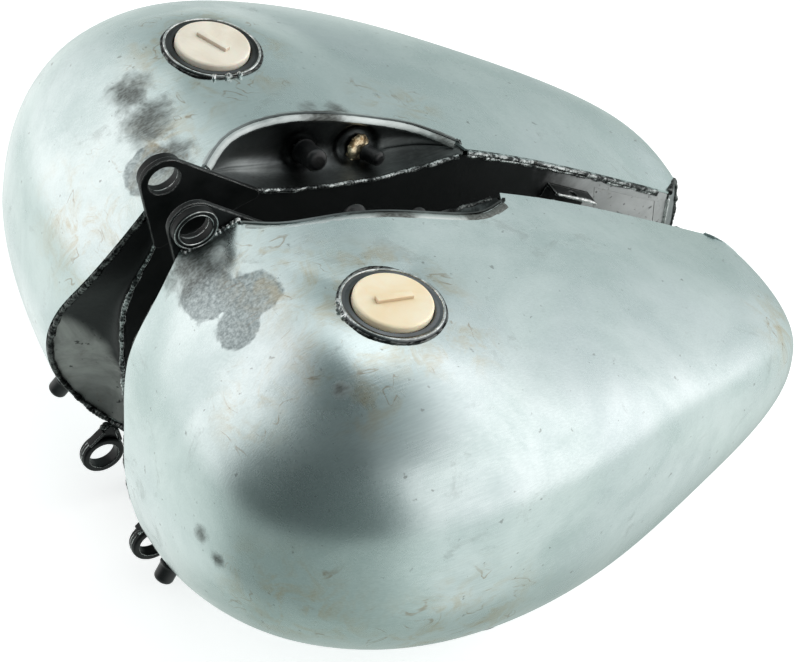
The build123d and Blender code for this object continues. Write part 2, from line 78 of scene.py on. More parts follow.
def natural_spline(xs, ys, x):
    xs, ys, x = (np.asarray(a, float) for a in (xs, ys, x))
    ys = ys.reshape(len(xs), -1)
    h = np.diff(xs)
    n = len(xs)
    a, b = np.eye(n), np.zeros((n, ys.shape[1]))
    for i in range(1, n - 1):
        a[i, i - 1:i + 2] = h[i - 1], 2 * (h[i - 1] + h[i]), h[i]
        b[i] = 6 * ((ys[i + 1] - ys[i]) / h[i] - (ys[i] - ys[i - 1]) / h[i - 1])
    m = np.linalg.solve(a, b)
    i = np.clip(np.searchsorted(xs, x) - 1, 0, n - 2)
    d, e, k = (x - xs[i])[:, None], (xs[i + 1] - x)[:, None], h[i][:, None]
    return (m[i] * e**3 + m[i + 1] * d**3) / (6 * k) + (ys[i] / k - m[i] * k / 6) * e \
        + (ys[i + 1] / k - m[i + 1] * k / 6) * d


def height(table, x):
    t = np.array(table[::-1], float)
    return natural_spline(t[:, 0], t[:, 1], x)[:, 0]


def along(points, s):
    p = np.array(points, float)
    c = np.r_[0, np.cumsum(np.linalg.norm(np.diff(p, axis=0), axis=1))]
    return natural_spline(c / c[-1], p, s)


def skin(ts, ss):
    """Points of the left skin at (len(ts), n); ss is one row or a row for each t."""
    ts = np.asarray(ts, float)
    ss = np.broadcast_to(np.asarray(ss, float), (len(ts), np.shape(ss)[-1]))

    def sections(t, s):
        e = natural_spline(WAIST_T, WAIST, t)
        f = (WAIST[0][0] - e[:, 0]) / (WAIST[0][0] - WAIST[-1][0])
        tx = TOP[0][0] + f * (TOP[-1][0] - TOP[0][0])
        bx = BOTTOM[0][0] + f * (BOTTOM[-1][0] - BOTTOM[0][0])
        wall = np.full(len(t), WALL_Y)
        upper = (s <= 0.5)[..., None]
        top_edge, low_edge = np.c_[tx, wall, height(TOP, tx)], np.c_[bx, wall, height(BOTTOM, bx)]
        edge = np.where(upper, top_edge[:, None], low_edge[:, None])
        crown, belly = natural_spline(SQUARE_T, CROWN_N, t), natural_spline(SQUARE_T, BELLY_N, t)
        n = np.where(upper, crown[:, None], belly[:, None])
        u = (2 * np.minimum(s, 1 - s))[..., None]
        a = math.pi / 2 * u**(n / 2) / (u**(n / 2) + (1 - u)**(n / 2))
        mid = edge.copy()
        mid[..., 2] = e[:, None, 2]
        return mid + (edge - mid) * np.abs(np.cos(a))**(2 / n) + (e[:, None] - mid) * np.sin(a)**(2 / n)

    w = np.clip(1 - ts / 0.34, 0, 1)
    w = (w * w * (3 - 2 * w))[:, None, None]
    nose = np.stack([along(SEAM, row) for row in ss])
    return sections(ts, ss) + w * (nose - sections(np.zeros(len(ts)), ss))


def bell(v, middle, width):
    return np.exp(-((v - middle) / width)**2)


def unit(v):
    v = np.asarray(v, float)
    return v / np.linalg.norm(v)


def normals(grid):
    n = np.cross(np.gradient(grid, axis=0), np.gradient(grid, axis=1))
    for i, a in ((0, 1), (-1, -2)):
        for j, b in ((0, 1), (-1, -2)):
            n[i, j] = n[a, b]
    return n / (np.linalg.norm(n, axis=2)[..., None] + 1e-12)


DENSE = skin(np.linspace(0, 1, 201), np.linspace(0, 1, 201))
DENSE_N = -normals(DENSE)
CROWN = DENSE[:, :90].reshape(-1, 3)


def on_skin(x, y, z):
    i = np.unravel_index(np.argmin(((DENSE - (x, y, z))**2).sum(axis=2)), DENSE.shape[:2])
    return DENSE[i], DENSE_N[i]


def crown_height(x, y):
    i = np.argsort((CROWN[:, 0] - x)**2 + (CROWN[:, 1] - y)**2)[:8]
    a = np.c_[np.ones(8), CROWN[i, :2] - (x, y)]
    return float(np.linalg.lstsq(a, CROWN[i, 2], rcond=None)[0][0])


def rim_y(x):
    r = np.array(([(133.2, WALL_Y)] + POCKET_RIM + [(-46.2, WALL_Y)])[::-1], float)
    return np.interp(x, r[:, 0], r[:, 1])


# ---------------------------------------------------------------- materials
def shader(name, metallic=0.0, roughness=0.5, **sockets):
    m = bpy.data.materials.new(name)
    m.use_nodes = True
    b = m.node_tree.nodes["Principled BSDF"]
    b.inputs["Metallic"].default_value = metallic
    b.inputs["Roughness"].default_value = roughness
    for key, value in sockets.items():
        b.inputs[key.replace("_", " ")].default_value = value
    return m, m.node_tree, b


def node(nt, kind, inputs=None, **props):
    n = nt.nodes.new("ShaderNode" + kind)
    for k, v in props.items():
        setattr(n, k, v)
    for k, v in (inputs or {}).items():
        if isinstance(v, bpy.types.NodeSocket):
            nt.links.new(v, n.inputs[k])
        else:
            n.inputs[k].default_value = v
    return n


def place(nt, scale=(1, 1, 1), turn=(0, 0, 0)):
    c = node(nt, "TexCoord").outputs["Object"]
    return node(nt, "Mapping", {"Vector": c, "Scale": scale, "Rotation": turn}).outputs[0]


def noise(nt, at, scale, detail=4.0, rough=0.55, warp=0.0):
    return node(nt, "TexNoise", {"Vector": at, "Scale": scale, "Detail": detail, "Roughness": rough,
                                 "Distortion": warp}).outputs["Fac"]


def ramp(nt, fac, low, high, a=0.0, b=1.0):
    n = node(nt, "MapRange", {"Value": fac, "From Min": low, "From Max": high, "To Min": a, "To Max": b},
             interpolation_type="SMOOTHSTEP")
    return n.outputs[0]


def calc(nt, op, a, b, clamp=False):
    return node(nt, "Math", {0: a, 1: b}, operation=op, use_clamp=clamp).outputs[0]


def blend(nt, fac, a, b, mode="MIX"):
    n = node(nt, "Mix", data_type="RGBA", blend_type=mode)
    for k, v in ((0, fac), (6, a), (7, b)):
        if isinstance(v, bpy.types.NodeSocket):
            nt.links.new(v, n.inputs[k])
        else:
            n.inputs[k].default_value = v
    return n.outputs[2]


def rgb(r, g, b):
    return (r, g, b, 1.0)


def mask(nt, name):
    return node(nt, "Attribute", attribute_name=name).outputs["Fac"]


def bump(nt, b, *layers):
    last = None
    for h, distance, strength in layers:
        n = node(nt, "Bump", {"Height": h, "Distance": distance, "Strength": strength})
        if last:
            nt.links.new(last, n.inputs["Normal"])
        last = n.outputs[0]
    nt.links.new(last, b.inputs["Normal"])


def edges(nt, radius):
    """1 along convex and concave edges, 0 on the flats."""
    soft = node(nt, "Bevel", {"Radius": radius}, samples=6).outputs[0]
    flat = node(nt, "NewGeometry").outputs["Normal"]
    d = node(nt, "VectorMath", {0: soft, 1: flat}, operation="DOT_PRODUCT").outputs["Value"]
    return ramp(nt, d, 0.97, 0.86)


def spot(nt, at, name, scale, amount, low, high):
    """Blotch with a ragged edge where a cone-shaped mask is high."""
    n = calc(nt, "MULTIPLY", calc(nt, "SUBTRACT", noise(nt, at, scale, 6, 0.6, 0.4), 0.5), amount)
    m = mask(nt, name)
    edge = ramp(nt, calc(nt, "ADD", m, n), low, high)
    return calc(nt, "MULTIPLY", edge, ramp(nt, m, 0.0, 0.06))


def steel(name, light, dark, rough=(0.22, 0.40), oxide=0.6, masks=True, scorch=False):
    """Sanded bare steel: cross grain, cloudy sheen, grey oxide, brown water marks, and near-black patches
    that are partly soot and partly painted dark reflection.
    """
    m, nt, b = shader(name, 1.0, 0.3, Anisotropic=0.25)
    at = place(nt)
    cloud = noise(nt, at, 11, 5, 0.6, 0.4)
    fine = noise(nt, at, 70, 8, 0.7, 0.3)
    grain = noise(nt, place(nt, (60, 900, 900), (0.1, 0.25, 0.0)), 1.0, 3, 0.6)
    grain2 = noise(nt, place(nt, (900, 80, 700), (0.5, 0.1, 0.9)), 1.0, 3, 0.6)
    col = blend(nt, ramp(nt, cloud, 0.32, 0.68), light, dark)
    col = blend(nt, ramp(nt, noise(nt, at, 7, 3, 0.5, 0.6), 0.42, 0.62, 0, 0.22), col, rgb(0.66, 0.70, 0.75))
    col = blend(nt, ramp(nt, fine, 0.45, 0.8, 0, 0.30), col, dark)
    pits = ramp(nt, noise(nt, at, 190, 2, 0.5), 0.70, 0.76, 0, 0.5)
    col = blend(nt, pits, col, rgb(0.10, 0.09, 0.08))
    patch = ramp(nt, noise(nt, at, 24, 9, 0.72, 0.8), 0.58, 0.68, 0, oxide * 0.4)
    col = blend(nt, patch, col, rgb(0.20, 0.21, 0.19))
    if masks:
        speck = ramp(nt, noise(nt, at, 420, 6, 0.7), 0.42, 0.60, 0.95, 0.6)
        grey = calc(nt, "MULTIPLY", spot(nt, at, "oxide", 44, 0.9, 0.22, 0.34), speck)
        col = blend(nt, grey, col, rgb(0.25, 0.29, 0.295))
        near = mask(nt, "stain")
        puddle = ramp(nt, noise(nt, at, 44, 8, 0.65, 1.0), 0.44, 0.66, 0, 0.75)
        wash = calc(nt, "MULTIPLY", near, puddle, True)
        col = blend(nt, wash, col, rgb(0.53, 0.43, 0.26))
        level = noise(nt, at, 24, 2.5, 0.5, 1.3)
        line = ramp(nt, calc(nt, "ABSOLUTE", calc(nt, "SUBTRACT", level, 0.53), 0.0), 0.013, 0.003)
        broken = ramp(nt, noise(nt, at, 40, 6, 0.6), 0.48, 0.58)
        curl = calc(nt, "MULTIPLY", calc(nt, "MULTIPLY", line, broken), ramp(nt, near, 0.05, 0.35), True)
        col = blend(nt, calc(nt, "MULTIPLY", curl, 0.55), col, rgb(0.30, 0.20, 0.10))
        # near-black patches on the skin: partly soot, partly a painted dark reflection
        dark_spot = spot(nt, at, "soot_and_painted_reflection", 90, 1.1, 0.12, 0.85)
        col = blend(nt, calc(nt, "MULTIPLY", dark_spot, 0.85), col, rgb(0.05, 0.048, 0.04))
        patch = calc(nt, "ADD", patch, calc(nt, "MAXIMUM", grey, dark_spot), True)
    col = blend(nt, ramp(nt, grain, 0.3, 0.75, 0, 0.26), col, tuple(min(1.0, 1.16 * c) for c in light))
    if scorch:
        burnt = calc(nt, "MULTIPLY", mask(nt, "scorch"), ramp(nt, fine, 0.25, 0.55, 0.6, 1.0), True)
        col = blend(nt, burnt, col, rgb(0.012, 0.014, 0.014))
    nt.links.new(col, b.inputs["Base Color"])
    r = ramp(nt, cloud, 0.3, 0.7, rough[0], rough[1])
    r = calc(nt, "ADD", r, calc(nt, "MULTIPLY", patch, 0.24))
    r = calc(nt, "ADD", r, calc(nt, "MULTIPLY", grain2, 0.10), True)
    nt.links.new(r, b.inputs["Roughness"])
    bump(nt, b, (noise(nt, at, 9, 2, 0.4), 0.004, 0.10), (grain, 0.00008, 0.5), (grain2, 0.00005, 0.3),
         (fine, 0.0001, 0.12))
    return m


X_AXIS, Z_AXIS = 0, 2
SPOON_MIDDLE_Y = 0.060


def sheet_steel(name, light, dark, metallic=0.75, fade=None):
    """Dull dark sheet with black specks; fade = (axis, unshaded at, shaded at) in metres paints shade that
    darkens the sheet to near black along that axis.

    A fade along Z also darkens away from the middle of the nose panel, as painted shade towards its edges.
    """
    m, nt, b = shader(name, metallic, 0.5)
    at = place(nt)
    cloud = noise(nt, at, 14, 6, 0.65, 0.8)
    specks = ramp(nt, noise(nt, at, 150, 4, 0.6), 0.63, 0.68)
    col = blend(nt, ramp(nt, cloud, 0.35, 0.65), light, dark)
    col = blend(nt, calc(nt, "MULTIPLY", specks, 0.85), col, rgb(0.02, 0.02, 0.02))
    rustn = ramp(nt, noise(nt, at, 33, 8, 0.7, 1.5), 0.60, 0.72, 0, 0.4)
    col = blend(nt, rustn, col, rgb(0.13, 0.085, 0.055))
    # painted shade: the sheet blends to near black along the fade axis; a Z fade also darkens away from the
    # middle of the nose panel
    if fade:
        axis, unshaded_at, black = fade
        parts = node(nt, "SeparateXYZ", {0: at})
        w = parts.outputs[axis]
        w = calc(nt, "ADD", w, calc(nt, "MULTIPLY", calc(nt, "SUBTRACT", cloud, 0.5), 0.05))
        if axis == Z_AXIS:
            off = calc(nt, "SUBTRACT", calc(nt, "ABSOLUTE", parts.outputs[1], 0.0), SPOON_MIDDLE_Y)
            w = calc(nt, "ADD", w, calc(nt, "MULTIPLY", calc(nt, "ABSOLUTE", off, 0.0), 4.0))
        col = blend(nt, ramp(nt, w, unshaded_at, black), col, rgb(0.010, 0.012, 0.012))
    nt.links.new(col, b.inputs["Base Color"])
    nt.links.new(ramp(nt, cloud, 0.3, 0.7, 0.38, 0.62), b.inputs["Roughness"])
    bump(nt, b, (noise(nt, at, 240, 6, 0.7), 0.0003, 0.5), (noise(nt, at, 12, 3), 0.003, 0.12))
    return m


def scale_black(name):
    """Black mill scale and old paint, worn bright on its edges."""
    m, nt, b = shader(name, 0.35, 0.4, Specular_IOR_Level=0.2)
    at = place(nt)
    rub = noise(nt, at, 90, 7, 0.7, 0.6)
    worn = calc(nt, "MULTIPLY", edges(nt, 0.0013), ramp(nt, rub, 0.36, 0.50), True)
    flecks = ramp(nt, noise(nt, at, 160, 8, 0.75, 0.4), 0.66, 0.74, 0, 0.5)
    worn = calc(nt, "MAXIMUM", worn, flecks, True)
    base = blend(nt, ramp(nt, noise(nt, at, 26, 6, 0.6), 0.35, 0.7),
                 rgb(0.004, 0.005, 0.005), rgb(0.016, 0.018, 0.018))
    nt.links.new(blend(nt, worn, base, rgb(0.78, 0.82, 0.80)), b.inputs["Base Color"])
    nt.links.new(calc(nt, "MAXIMUM", worn, 0.06), b.inputs["Metallic"])
    nt.links.new(calc(nt, "ADD", calc(nt, "MULTIPLY", rub, 0.3), 0.24, True), b.inputs["Roughness"])
    bump(nt, b, (rub, 0.0004, 0.35), (noise(nt, at, 500, 5, 0.6), 0.0001, 0.5))
    return m


def ivory(name, light, dark):
    m, nt, b = shader(name, 0.0, 0.42, Subsurface_Weight=0.12, Subsurface_Scale=0.004)
    at = place(nt)
    cloud = noise(nt, at, 34, 6, 0.6, 0.5)
    col = blend(nt, ramp(nt, cloud, 0.35, 0.7), light, dark)
    dirt = ramp(nt, noise(nt, at, 120, 9, 0.75), 0.62, 0.76, 0, 0.18)
    col = blend(nt, dirt, col, rgb(0.20, 0.15, 0.09))
    # painted shade: brown darkening at the foot of the grip bar, where it meets the cap face
    col = blend(nt, calc(nt, "MULTIPLY", mask(nt, "bar_foot_shade"), 0.8), col, rgb(0.36, 0.20, 0.11))
    nt.links.new(col, b.inputs["Base Color"])
    nt.links.new(ramp(nt, noise(nt, at, 60, 5), 0.3, 0.7, 0.32, 0.52), b.inputs["Roughness"])
    bump(nt, b, (noise(nt, at, 900, 4), 0.00008, 0.4), (noise(nt, at, 40, 3), 0.0006, 0.15))
    return m


def rubber(name):
    m, nt, b = shader(name, 0.0, 0.55)
    at = place(nt)
    dust = ramp(nt, noise(nt, at, 150, 8, 0.7), 0.5, 0.75, 0, 0.45)
    nt.links.new(blend(nt, dust, rgb(0.004, 0.0045, 0.005), rgb(0.022, 0.024, 0.024)), b.inputs["Base Color"])
    nt.links.new(ramp(nt, noise(nt, at, 70, 4), 0.3, 0.7, 0.28, 0.5), b.inputs["Roughness"])
    bump(nt, b, (noise(nt, at, 1100, 4), 0.00012, 0.5))
    return m


def braze(name):
    m, nt, b = shader(name, 0.9, 0.35)
    at = place(nt)
    col = blend(nt, ramp(nt, noise(nt, at, 160, 6, 0.6), 0.44, 0.64),
                rgb(1.0, 0.87, 0.60), rgb(0.30, 0.20, 0.10))
    nt.links.new(col, b.inputs["Base Color"])
    nt.links.new(ramp(nt, noise(nt, at, 300, 5), 0.3, 0.7, 0.25, 0.55), b.inputs["Roughness"])
    bump(nt, b, (noise(nt, at, 420, 5, 0.6), 0.0005, 0.5))
    return m


def weld(name, light, dark, rough=0.38):
    m, nt, b = shader(name, 0.95, rough)
    at = place(nt)
    n1 = noise(nt, place(nt, (0.45, 1, 1)), 260, 7, 0.66, 0.8)
    col = blend(nt, ramp(nt, n1, 0.38, 0.58), light, dark)
    col = blend(nt, ramp(nt, noise(nt, at, 60, 8, 0.7, 1.0), 0.60, 0.74, 0, 0.4), col, rgb(0.12, 0.08, 0.05))
    nt.links.new(col, b.inputs["Base Color"])
    nt.links.new(ramp(nt, n1, 0.3, 0.7, rough - 0.12, rough + 0.14), b.inputs["Roughness"])
    bump(nt, b, (noise(nt, at, 700, 6, 0.65), 0.0002, 0.6))
    return m


M = {
    "skin": steel("sanded_steel", rgb(0.68, 0.765, 0.757), rgb(0.50, 0.60, 0.59), (0.13, 0.27)),
    # pocket liner: base colour much darker than the skin, painted shade of the recess; the scorch marks come
    # on top
    "pocket": steel("pocket_steel", rgb(0.26, 0.285, 0.28), rgb(0.09, 0.10, 0.098), (0.22, 0.40), 0.8,
                    masks=False, scorch=True),
    # near-black base colour: painted dark reflection and shade on the filler neck ring; the same material
    # also goes on the nipples, pipes and bung
    "ring": steel("ring_steel_painted_dark_reflection", rgb(0.055, 0.06, 0.058), rgb(0.014, 0.016, 0.015), (0.22, 0.38), 0.35,
                  masks=False),
    "rim": steel("rim_steel", rgb(0.54, 0.59, 0.575), rgb(0.32, 0.36, 0.35), (0.28, 0.42), 0.6),
    # painted shade: the fade darkens this sheet to near black forward of x = -0.10 m, where the gap between
    # the halves is deep
    "wall": sheet_steel("wall_sheet", rgb(0.62, 0.645, 0.64), rgb(0.43, 0.45, 0.445), 0.15,
                        fade=(X_AXIS, -0.140, -0.100)),
    # painted shade: the fade darkens the nose panel to near black towards its top and away from its middle
    "spoon": sheet_steel("nose_panel_sheet", rgb(0.33, 0.345, 0.325), rgb(0.17, 0.18, 0.17), 0.5,
                         fade=(Z_AXIS, 0.14, 0.18)),
    "tail": sheet_steel("tail_sheet", rgb(0.26, 0.29, 0.29), rgb(0.13, 0.145, 0.145), 0.85),
    "black": scale_black("black_scale"),
    "ivory_l": ivory("ivory_warm", rgb(0.98, 0.87, 0.66), rgb(0.94, 0.76, 0.50)),
    "ivory_r": ivory("ivory_beige", rgb(0.90, 0.84, 0.72), rgb(0.78, 0.70, 0.57)),
    "rubber": rubber("black_rubber_grain"),
    "braze": braze("braze_lumps"),
    "weld": weld("weld_bead", rgb(0.50, 0.54, 0.53), rgb(0.030, 0.034, 0.034), 0.30),
    "weld_dark": weld("weld_bead_dark", rgb(0.17, 0.18, 0.175), rgb(0.010, 0.011, 0.011), 0.36),
    "edge": weld("ground_edge", rgb(0.78, 0.81, 0.80), rgb(0.36, 0.38, 0.37), 0.24),
}


# ---------------------------------------------------------------- mesh makers
def piece(side, name, verts, faces, look, body, replaces=(), sharp=35.0, attrs=None):
    """One object from points in millimetres; the right half is the mirror image."""
    v = np.array(verts, float)
    if side == "right":
        v = v * (1, -1, 1)
        faces = [f[::-1] for f in faces]
    me = bpy.data.meshes.new(f"{side}_{name}")
    me.from_pydata((v * MM).tolist(), [], faces)
    me.shade_smooth()
    me.set_sharp_from_angle(angle=math.radians(sharp))
    for key, values in (attrs or {}).items():
        me.attributes.new(name=key, type="FLOAT", domain="POINT").data.foreach_set("value", values)
    me.materials.append(M[look])
    ob = bpy.data.objects.new(f"{side}_{name}", me)
    scene.collection.objects.link(ob)
    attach(ob, body if body else f"{side}_half")
    if replaces:
        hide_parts(*[f"{side}_{n}" for n in replaces])
    return ob


def grid_faces(n, m, wrap=False, keep=None):
    out = []
    for i in range(n - 1):
        for j in range(m if wrap else m - 1):
            k = (j + 1) % m
            if keep is None or keep[i, j]:
                out.append((i * m + j, (i + 1) * m + j, (i + 1) * m + k, i * m + k))
    return out


def two_layers(grid, thick, keep=None):
    """Sheet with real thickness: outer layer, inner layer and all its edges closed."""
    n = -normals(grid)
    a, b = grid.reshape(-1, 3), (grid - thick * n).reshape(-1, 3)
    rows, cols = grid.shape[:2]
    outer = [f[::-1] for f in grid_faces(rows, cols, keep=keep)]
    total = rows * cols
    faces = outer + [tuple(total + i for i in f[::-1]) for f in outer]
    seen = {}
    for f in outer:
        for p, q in zip(f, f[1:] + f[:1]):
            if seen.pop((q, p), None) is None:
                seen[(p, q)] = True
    faces += [(q, p, p + total, q + total) for p, q in seen]
    return np.vstack([a, b]), faces


def axes_at(direction):
    z = unit(direction)
    x = unit(np.cross((0, 1, 0), z)) if abs(z[1]) < 0.9 else unit(np.cross((0, 0, 1), z))
    return x, np.cross(z, x), z


def lathe(profile, at, direction, turns=96, wobble=None):
    """Closed ring mesh from (radius, height) points; radius 0 closes on the axis."""
    x, y, z = axes_at(direction)
    ang = np.linspace(0, 2 * math.pi, turns, endpoint=False)
    verts, rings = [], []
    for r, h in profile:
        if r < 1e-6:
            rings.append([len(verts)])
            verts.append(np.asarray(at) + h * z)
            continue
        rings.append(list(range(len(verts), len(verts) + turns)))
        for a in ang:
            rr, hh = (r, h) if wobble is None else wobble(r, h, a)
            verts.append(np.asarray(at) + rr * (math.cos(a) * x + math.sin(a) * y) + hh * z)
    faces = []
    closed = len(rings[0]) > 1 and len(rings[-1]) > 1
    pairs = list(zip(rings, rings[1:] + ([rings[0]] if closed else [])))
    for p, q in pairs if closed else pairs[:len(rings) - 1]:
        for k in range(turns):
            m = (k + 1) % turns
            if len(p) == 1:
                faces.append((p[0], q[k], q[m]))
            elif len(q) == 1:
                faces.append((p[k], q[0], p[m]))
            else:
                faces.append((p[k], q[k], q[m], p[m]))
    c = np.array(profile)
    turn = sum((c[i - 1, 0] * c[i, 1] - c[i, 0] * c[i - 1, 1]) for i in range(len(c)))
    if turn > 0:
        faces = [f[::-1] for f in faces]
    return np.array(verts), faces


def arc(r, z, radius, start, end, n=8):
    return [(r + radius * math.cos(math.radians(a)), z + radius * math.sin(math.radians(a)))
            for a in np.linspace(start, end, n)]


def resample(points, step):
    p = np.array(points, float)
    c = np.r_[0, np.cumsum(np.linalg.norm(np.diff(p, axis=0), axis=1))]
    d = np.arange(0, c[-1], step)
    return np.c_[[np.interp(d, c, p[:, k]) for k in range(3)]].T, d


def bead(points, radius, seed=1, pitch=2.6, ripple=0.22, up=(0, 0, 1), closed=False, rough=0.12, step=0.55):
    """Weld bead: a rod whose size swells and shrinks with each puddle."""
    p, d = resample(points, step)
    if closed:
        d = d * round(d[-1] / pitch) * pitch / d[-1]
    rng = np.random.RandomState(seed)
    knots = rng.uniform(-1, 1, (max(4, int(d[-1] / 5)), 3))
    if closed:
        knots[-1] = knots[0]
    k = np.linspace(0, d[-1], len(knots))
    jig = np.c_[[np.interp(d, k, knots[:, i]) for i in range(3)]].T
    size = radius * (1 - ripple + ripple * 1.5 * np.abs(np.sin(math.pi * d / pitch))**0.7 + rough * jig[:, 0])
    if closed:
        tan = np.roll(p, -1, axis=0) - np.roll(p, 1, axis=0)
    else:
        tan = np.gradient(p, axis=0)
        size[0] = size[-1] = radius * 0.35
    tan /= np.linalg.norm(tan, axis=1)[:, None]
    ups = np.broadcast_to(np.asarray(up, float), p.shape)
    side = np.cross(tan, ups)
    side /= np.linalg.norm(side, axis=1)[:, None]
    top = np.cross(side, tan)
    p = p + side * (jig[:, 1] * radius * rough)[:, None]
    m = 12
    verts = []
    for i in range(len(p)):
        for a in np.linspace(0, 2 * math.pi, m, endpoint=False):
            verts.append(p[i] + size[i] * (math.cos(a) * side[i] + 0.8 * math.sin(a) * top[i]))
    faces = grid_faces(len(p), m, wrap=True)
    if closed:
        last = (len(p) - 1) * m
        faces += [(last + j, j, (j + 1) % m, last + (j + 1) % m) for j in range(m)]
    else:
        faces += [tuple(range(m)), tuple(range((len(p) - 1) * m, len(p) * m))[::-1]]
    return np.array(verts), faces


def lumps(spots, seed=3):
    """Small uneven weld or braze blobs at (point, radius)."""
    rng = np.random.RandomState(seed)
    verts, faces = [], []
    for p, r in spots:
        n, m = 9, 16
        ph = rng.uniform(0, 6.28, 4)
        base = len(verts)
        for i in range(n):
            t = math.pi * (i + 0.5) / n
            for j in range(m):
                a = 2 * math.pi * j / m
                swell = 0.16 * math.sin(2 * a + ph[0]) * math.sin(t)
                q = r * (1 + swell + 0.12 * math.sin(3 * a + 2 * t + ph[1]))
                way = (math.sin(t) * math.cos(a), math.sin(t) * math.sin(a), 0.8 * math.cos(t))
                verts.append(np.asarray(p) + q * np.array(way))
        faces += [tuple(base + k for k in f) for f in grid_faces(n, m, wrap=True)]
        faces += [tuple(range(base, base + m))[::-1], tuple(range(base + (n - 1) * m, base + n * m))]
    return np.array(verts), [f[::-1] for f in faces]


def curve_plate(outline, holes, thick, bevel, origin, x_dir, y_dir):
    """Plate with rounded edges from a flat outline; thickness runs along x_dir cross y_dir."""
    cu = bpy.data.curves.new("outline", "CURVE")
    cu.dimensions = "2D"
    cu.fill_mode = "BOTH"
    cu.bevel_depth = bevel
    cu.bevel_resolution = 3
    cu.offset = -bevel
    cu.extrude = thick / 2 - bevel
    for loop in [outline] + list(holes):
        sp = cu.splines.new("POLY")
        sp.points.add(len(loop) - 1)
        for q, (a, b) in zip(sp.points, loop):
            q.co = (a, b, 0, 1)
        sp.use_cyclic_u = True
    ob = bpy.data.objects.new("outline", cu)
    scene.collection.objects.link(ob)
    dg = bpy.context.evaluated_depsgraph_get()
    me = bpy.data.meshes.new_from_object(ob.evaluated_get(dg))
    v = np.array([tuple(p.co) for p in me.vertices])
    faces = [tuple(f.vertices) for f in me.polygons]
    bpy.data.objects.remove(ob)
    bpy.data.curves.remove(cu)
    bpy.data.meshes.remove(me)
    key, remap, keep = {}, [], []
    for p in v:
        k = tuple(np.round(p, 4))
        if k not in key:
            key[k] = len(keep)
            keep.append(p)
        remap.append(key[k])
    faces = [tuple(remap[i] for i in f) for f in faces]
    faces = [f for f in faces if len(set(f)) == len(f)]
    x, y = unit(x_dir), unit(y_dir)
    z = np.cross(x, y)
    v = np.array(keep)
    return np.asarray(origin) + v[:, :1] * x + v[:, 1:2] * y + v[:, 2:] * z, faces


def circle(x, y, r, n=72):
    turn = np.linspace(0, 2 * math.pi, n, endpoint=False)
    return [(x + r * math.cos(a), y + r * math.sin(a)) for a in turn]


def hull(circles):
    pts = sorted({(round(p, 4), round(q, 4)) for x, z, r in circles for p, q in circle(x, z, r)})

    def half(seq):
        out = []
        for p in seq:
            while len(out) > 1 and ((out[-1][0] - out[-2][0]) * (p[1] - out[-2][1])
                                    - (out[-1][1] - out[-2][1]) * (p[0] - out[-2][0])) <= 0:
                out.pop()
            out.append(p)
        return out[:-1]

    return half(pts) + half(pts[::-1])


def merge(*parts):
    verts, faces, n = [], [], 0
    for v, f in parts:
        verts.append(v)
        faces += [tuple(i + n for i in g) for g in f]
        n += len(v)
    return np.vstack(verts), faces


# ---------------------------------------------------------------- skin
NECK_AXIS, NECK_AT = unit((-0.21, 0.0, 1.0)), np.array((81.4, 129.1, 265.0))
CROSS_AT, CROSS_N = on_skin(218.0, 88.0, 57.0)
TAP_AT, TAP_N = on_skin(57.0, 208.0, 30.0)


def off_axis(p, at, axis):
    d = p - at
    h = d @ axis
    return np.linalg.norm(d - h[..., None] * axis, axis=-1), h


def ring_heights():
    """Height of the plain skin, along the neck's axis, all round the neck."""
    x, y, z = axes_at(NECK_AXIS)
    out = []
    for a in np.radians(np.arange(0, 360, 6)):
        q = NECK_AT + 33.4 * (math.cos(a) * x + math.sin(a) * y)
        for _ in range(4):
            i = np.argmin(((CROWN - q)**2).sum(axis=1))
            q = q + z * ((CROWN[i] - q) @ z) * 0.9
        out.append((q - NECK_AT) @ z)
    out = np.array(out)
    k = np.hanning(9) / np.hanning(9).sum()
    return np.convolve(np.r_[out[-4:], out, out[:4]], k, "valid")


RING_H = ring_heights()
SEAT = -3.4


def ring_height(a):
    return np.interp(np.mod(a, 2 * math.pi), np.radians(np.arange(0, 361, 6)), np.r_[RING_H, RING_H[:1]])


def seated(grid):
    """Skin pressed out to a level seat round the neck."""
    x, y, z = axes_at(NECK_AXIS)
    d, h = off_axis(grid, NECK_AT, NECK_AXIS)
    a = np.arctan2((grid - NECK_AT) @ y, (grid - NECK_AT) @ x)
    w = np.clip((92 - d) / 58, 0, 1)
    w = w * w * (3 - 2 * w) * (np.abs(h) < 60)
    return grid + (np.maximum(SEAT - ring_height(a), 0) * w)[..., None] * z


# Where stains sit on each half: (x, y, z, reach); the near-black patches are partly soot and partly painted
# dark reflection
MARKS = {
    "left": {
        "oxide": [(170, 60, 250, 25), (165, 95, 250, 20), (150, 80, 260, 25)],
        "stain": [(125, 90, 265, 45), (135, 65, 265, 35), (130, 150, 260, 45), (125, 180, 250, 30),
                  (55, 150, 250, 35), (50, 165, 245, 25), (180, 145, 240, 35), (-205, 125, 105, 40),
                  (190, 215, 140, 60), (100, 245, 110, 70)],
        "soot_and_painted_reflection": [(225, 160, 165, 10), (220, 175, 155, 9), (135, 170, 255, 9), (125, 130, 260, 6),
                   (170, 35, 255, 35), (160, 30, 255, 25)]},
    "right": {
        "oxide": [(160, 50, 255, 25)],
        "stain": [(100, 90, 265, 30), (115, 80, 265, 25), (145, 60, 260, 35), (70, 120, 260, 35),
                  (-10, 75, 225, 30), (-35, 70, 215, 25), (200, 60, 215, 60)],
        "soot_and_painted_reflection": [(145, 115, 260, 25), (145, 85, 260, 30), (145, 50, 260, 25), (50, 55, 250, 15),
                   (-10, 80, 225, 4), (30, 50, 245, 20)]},
}


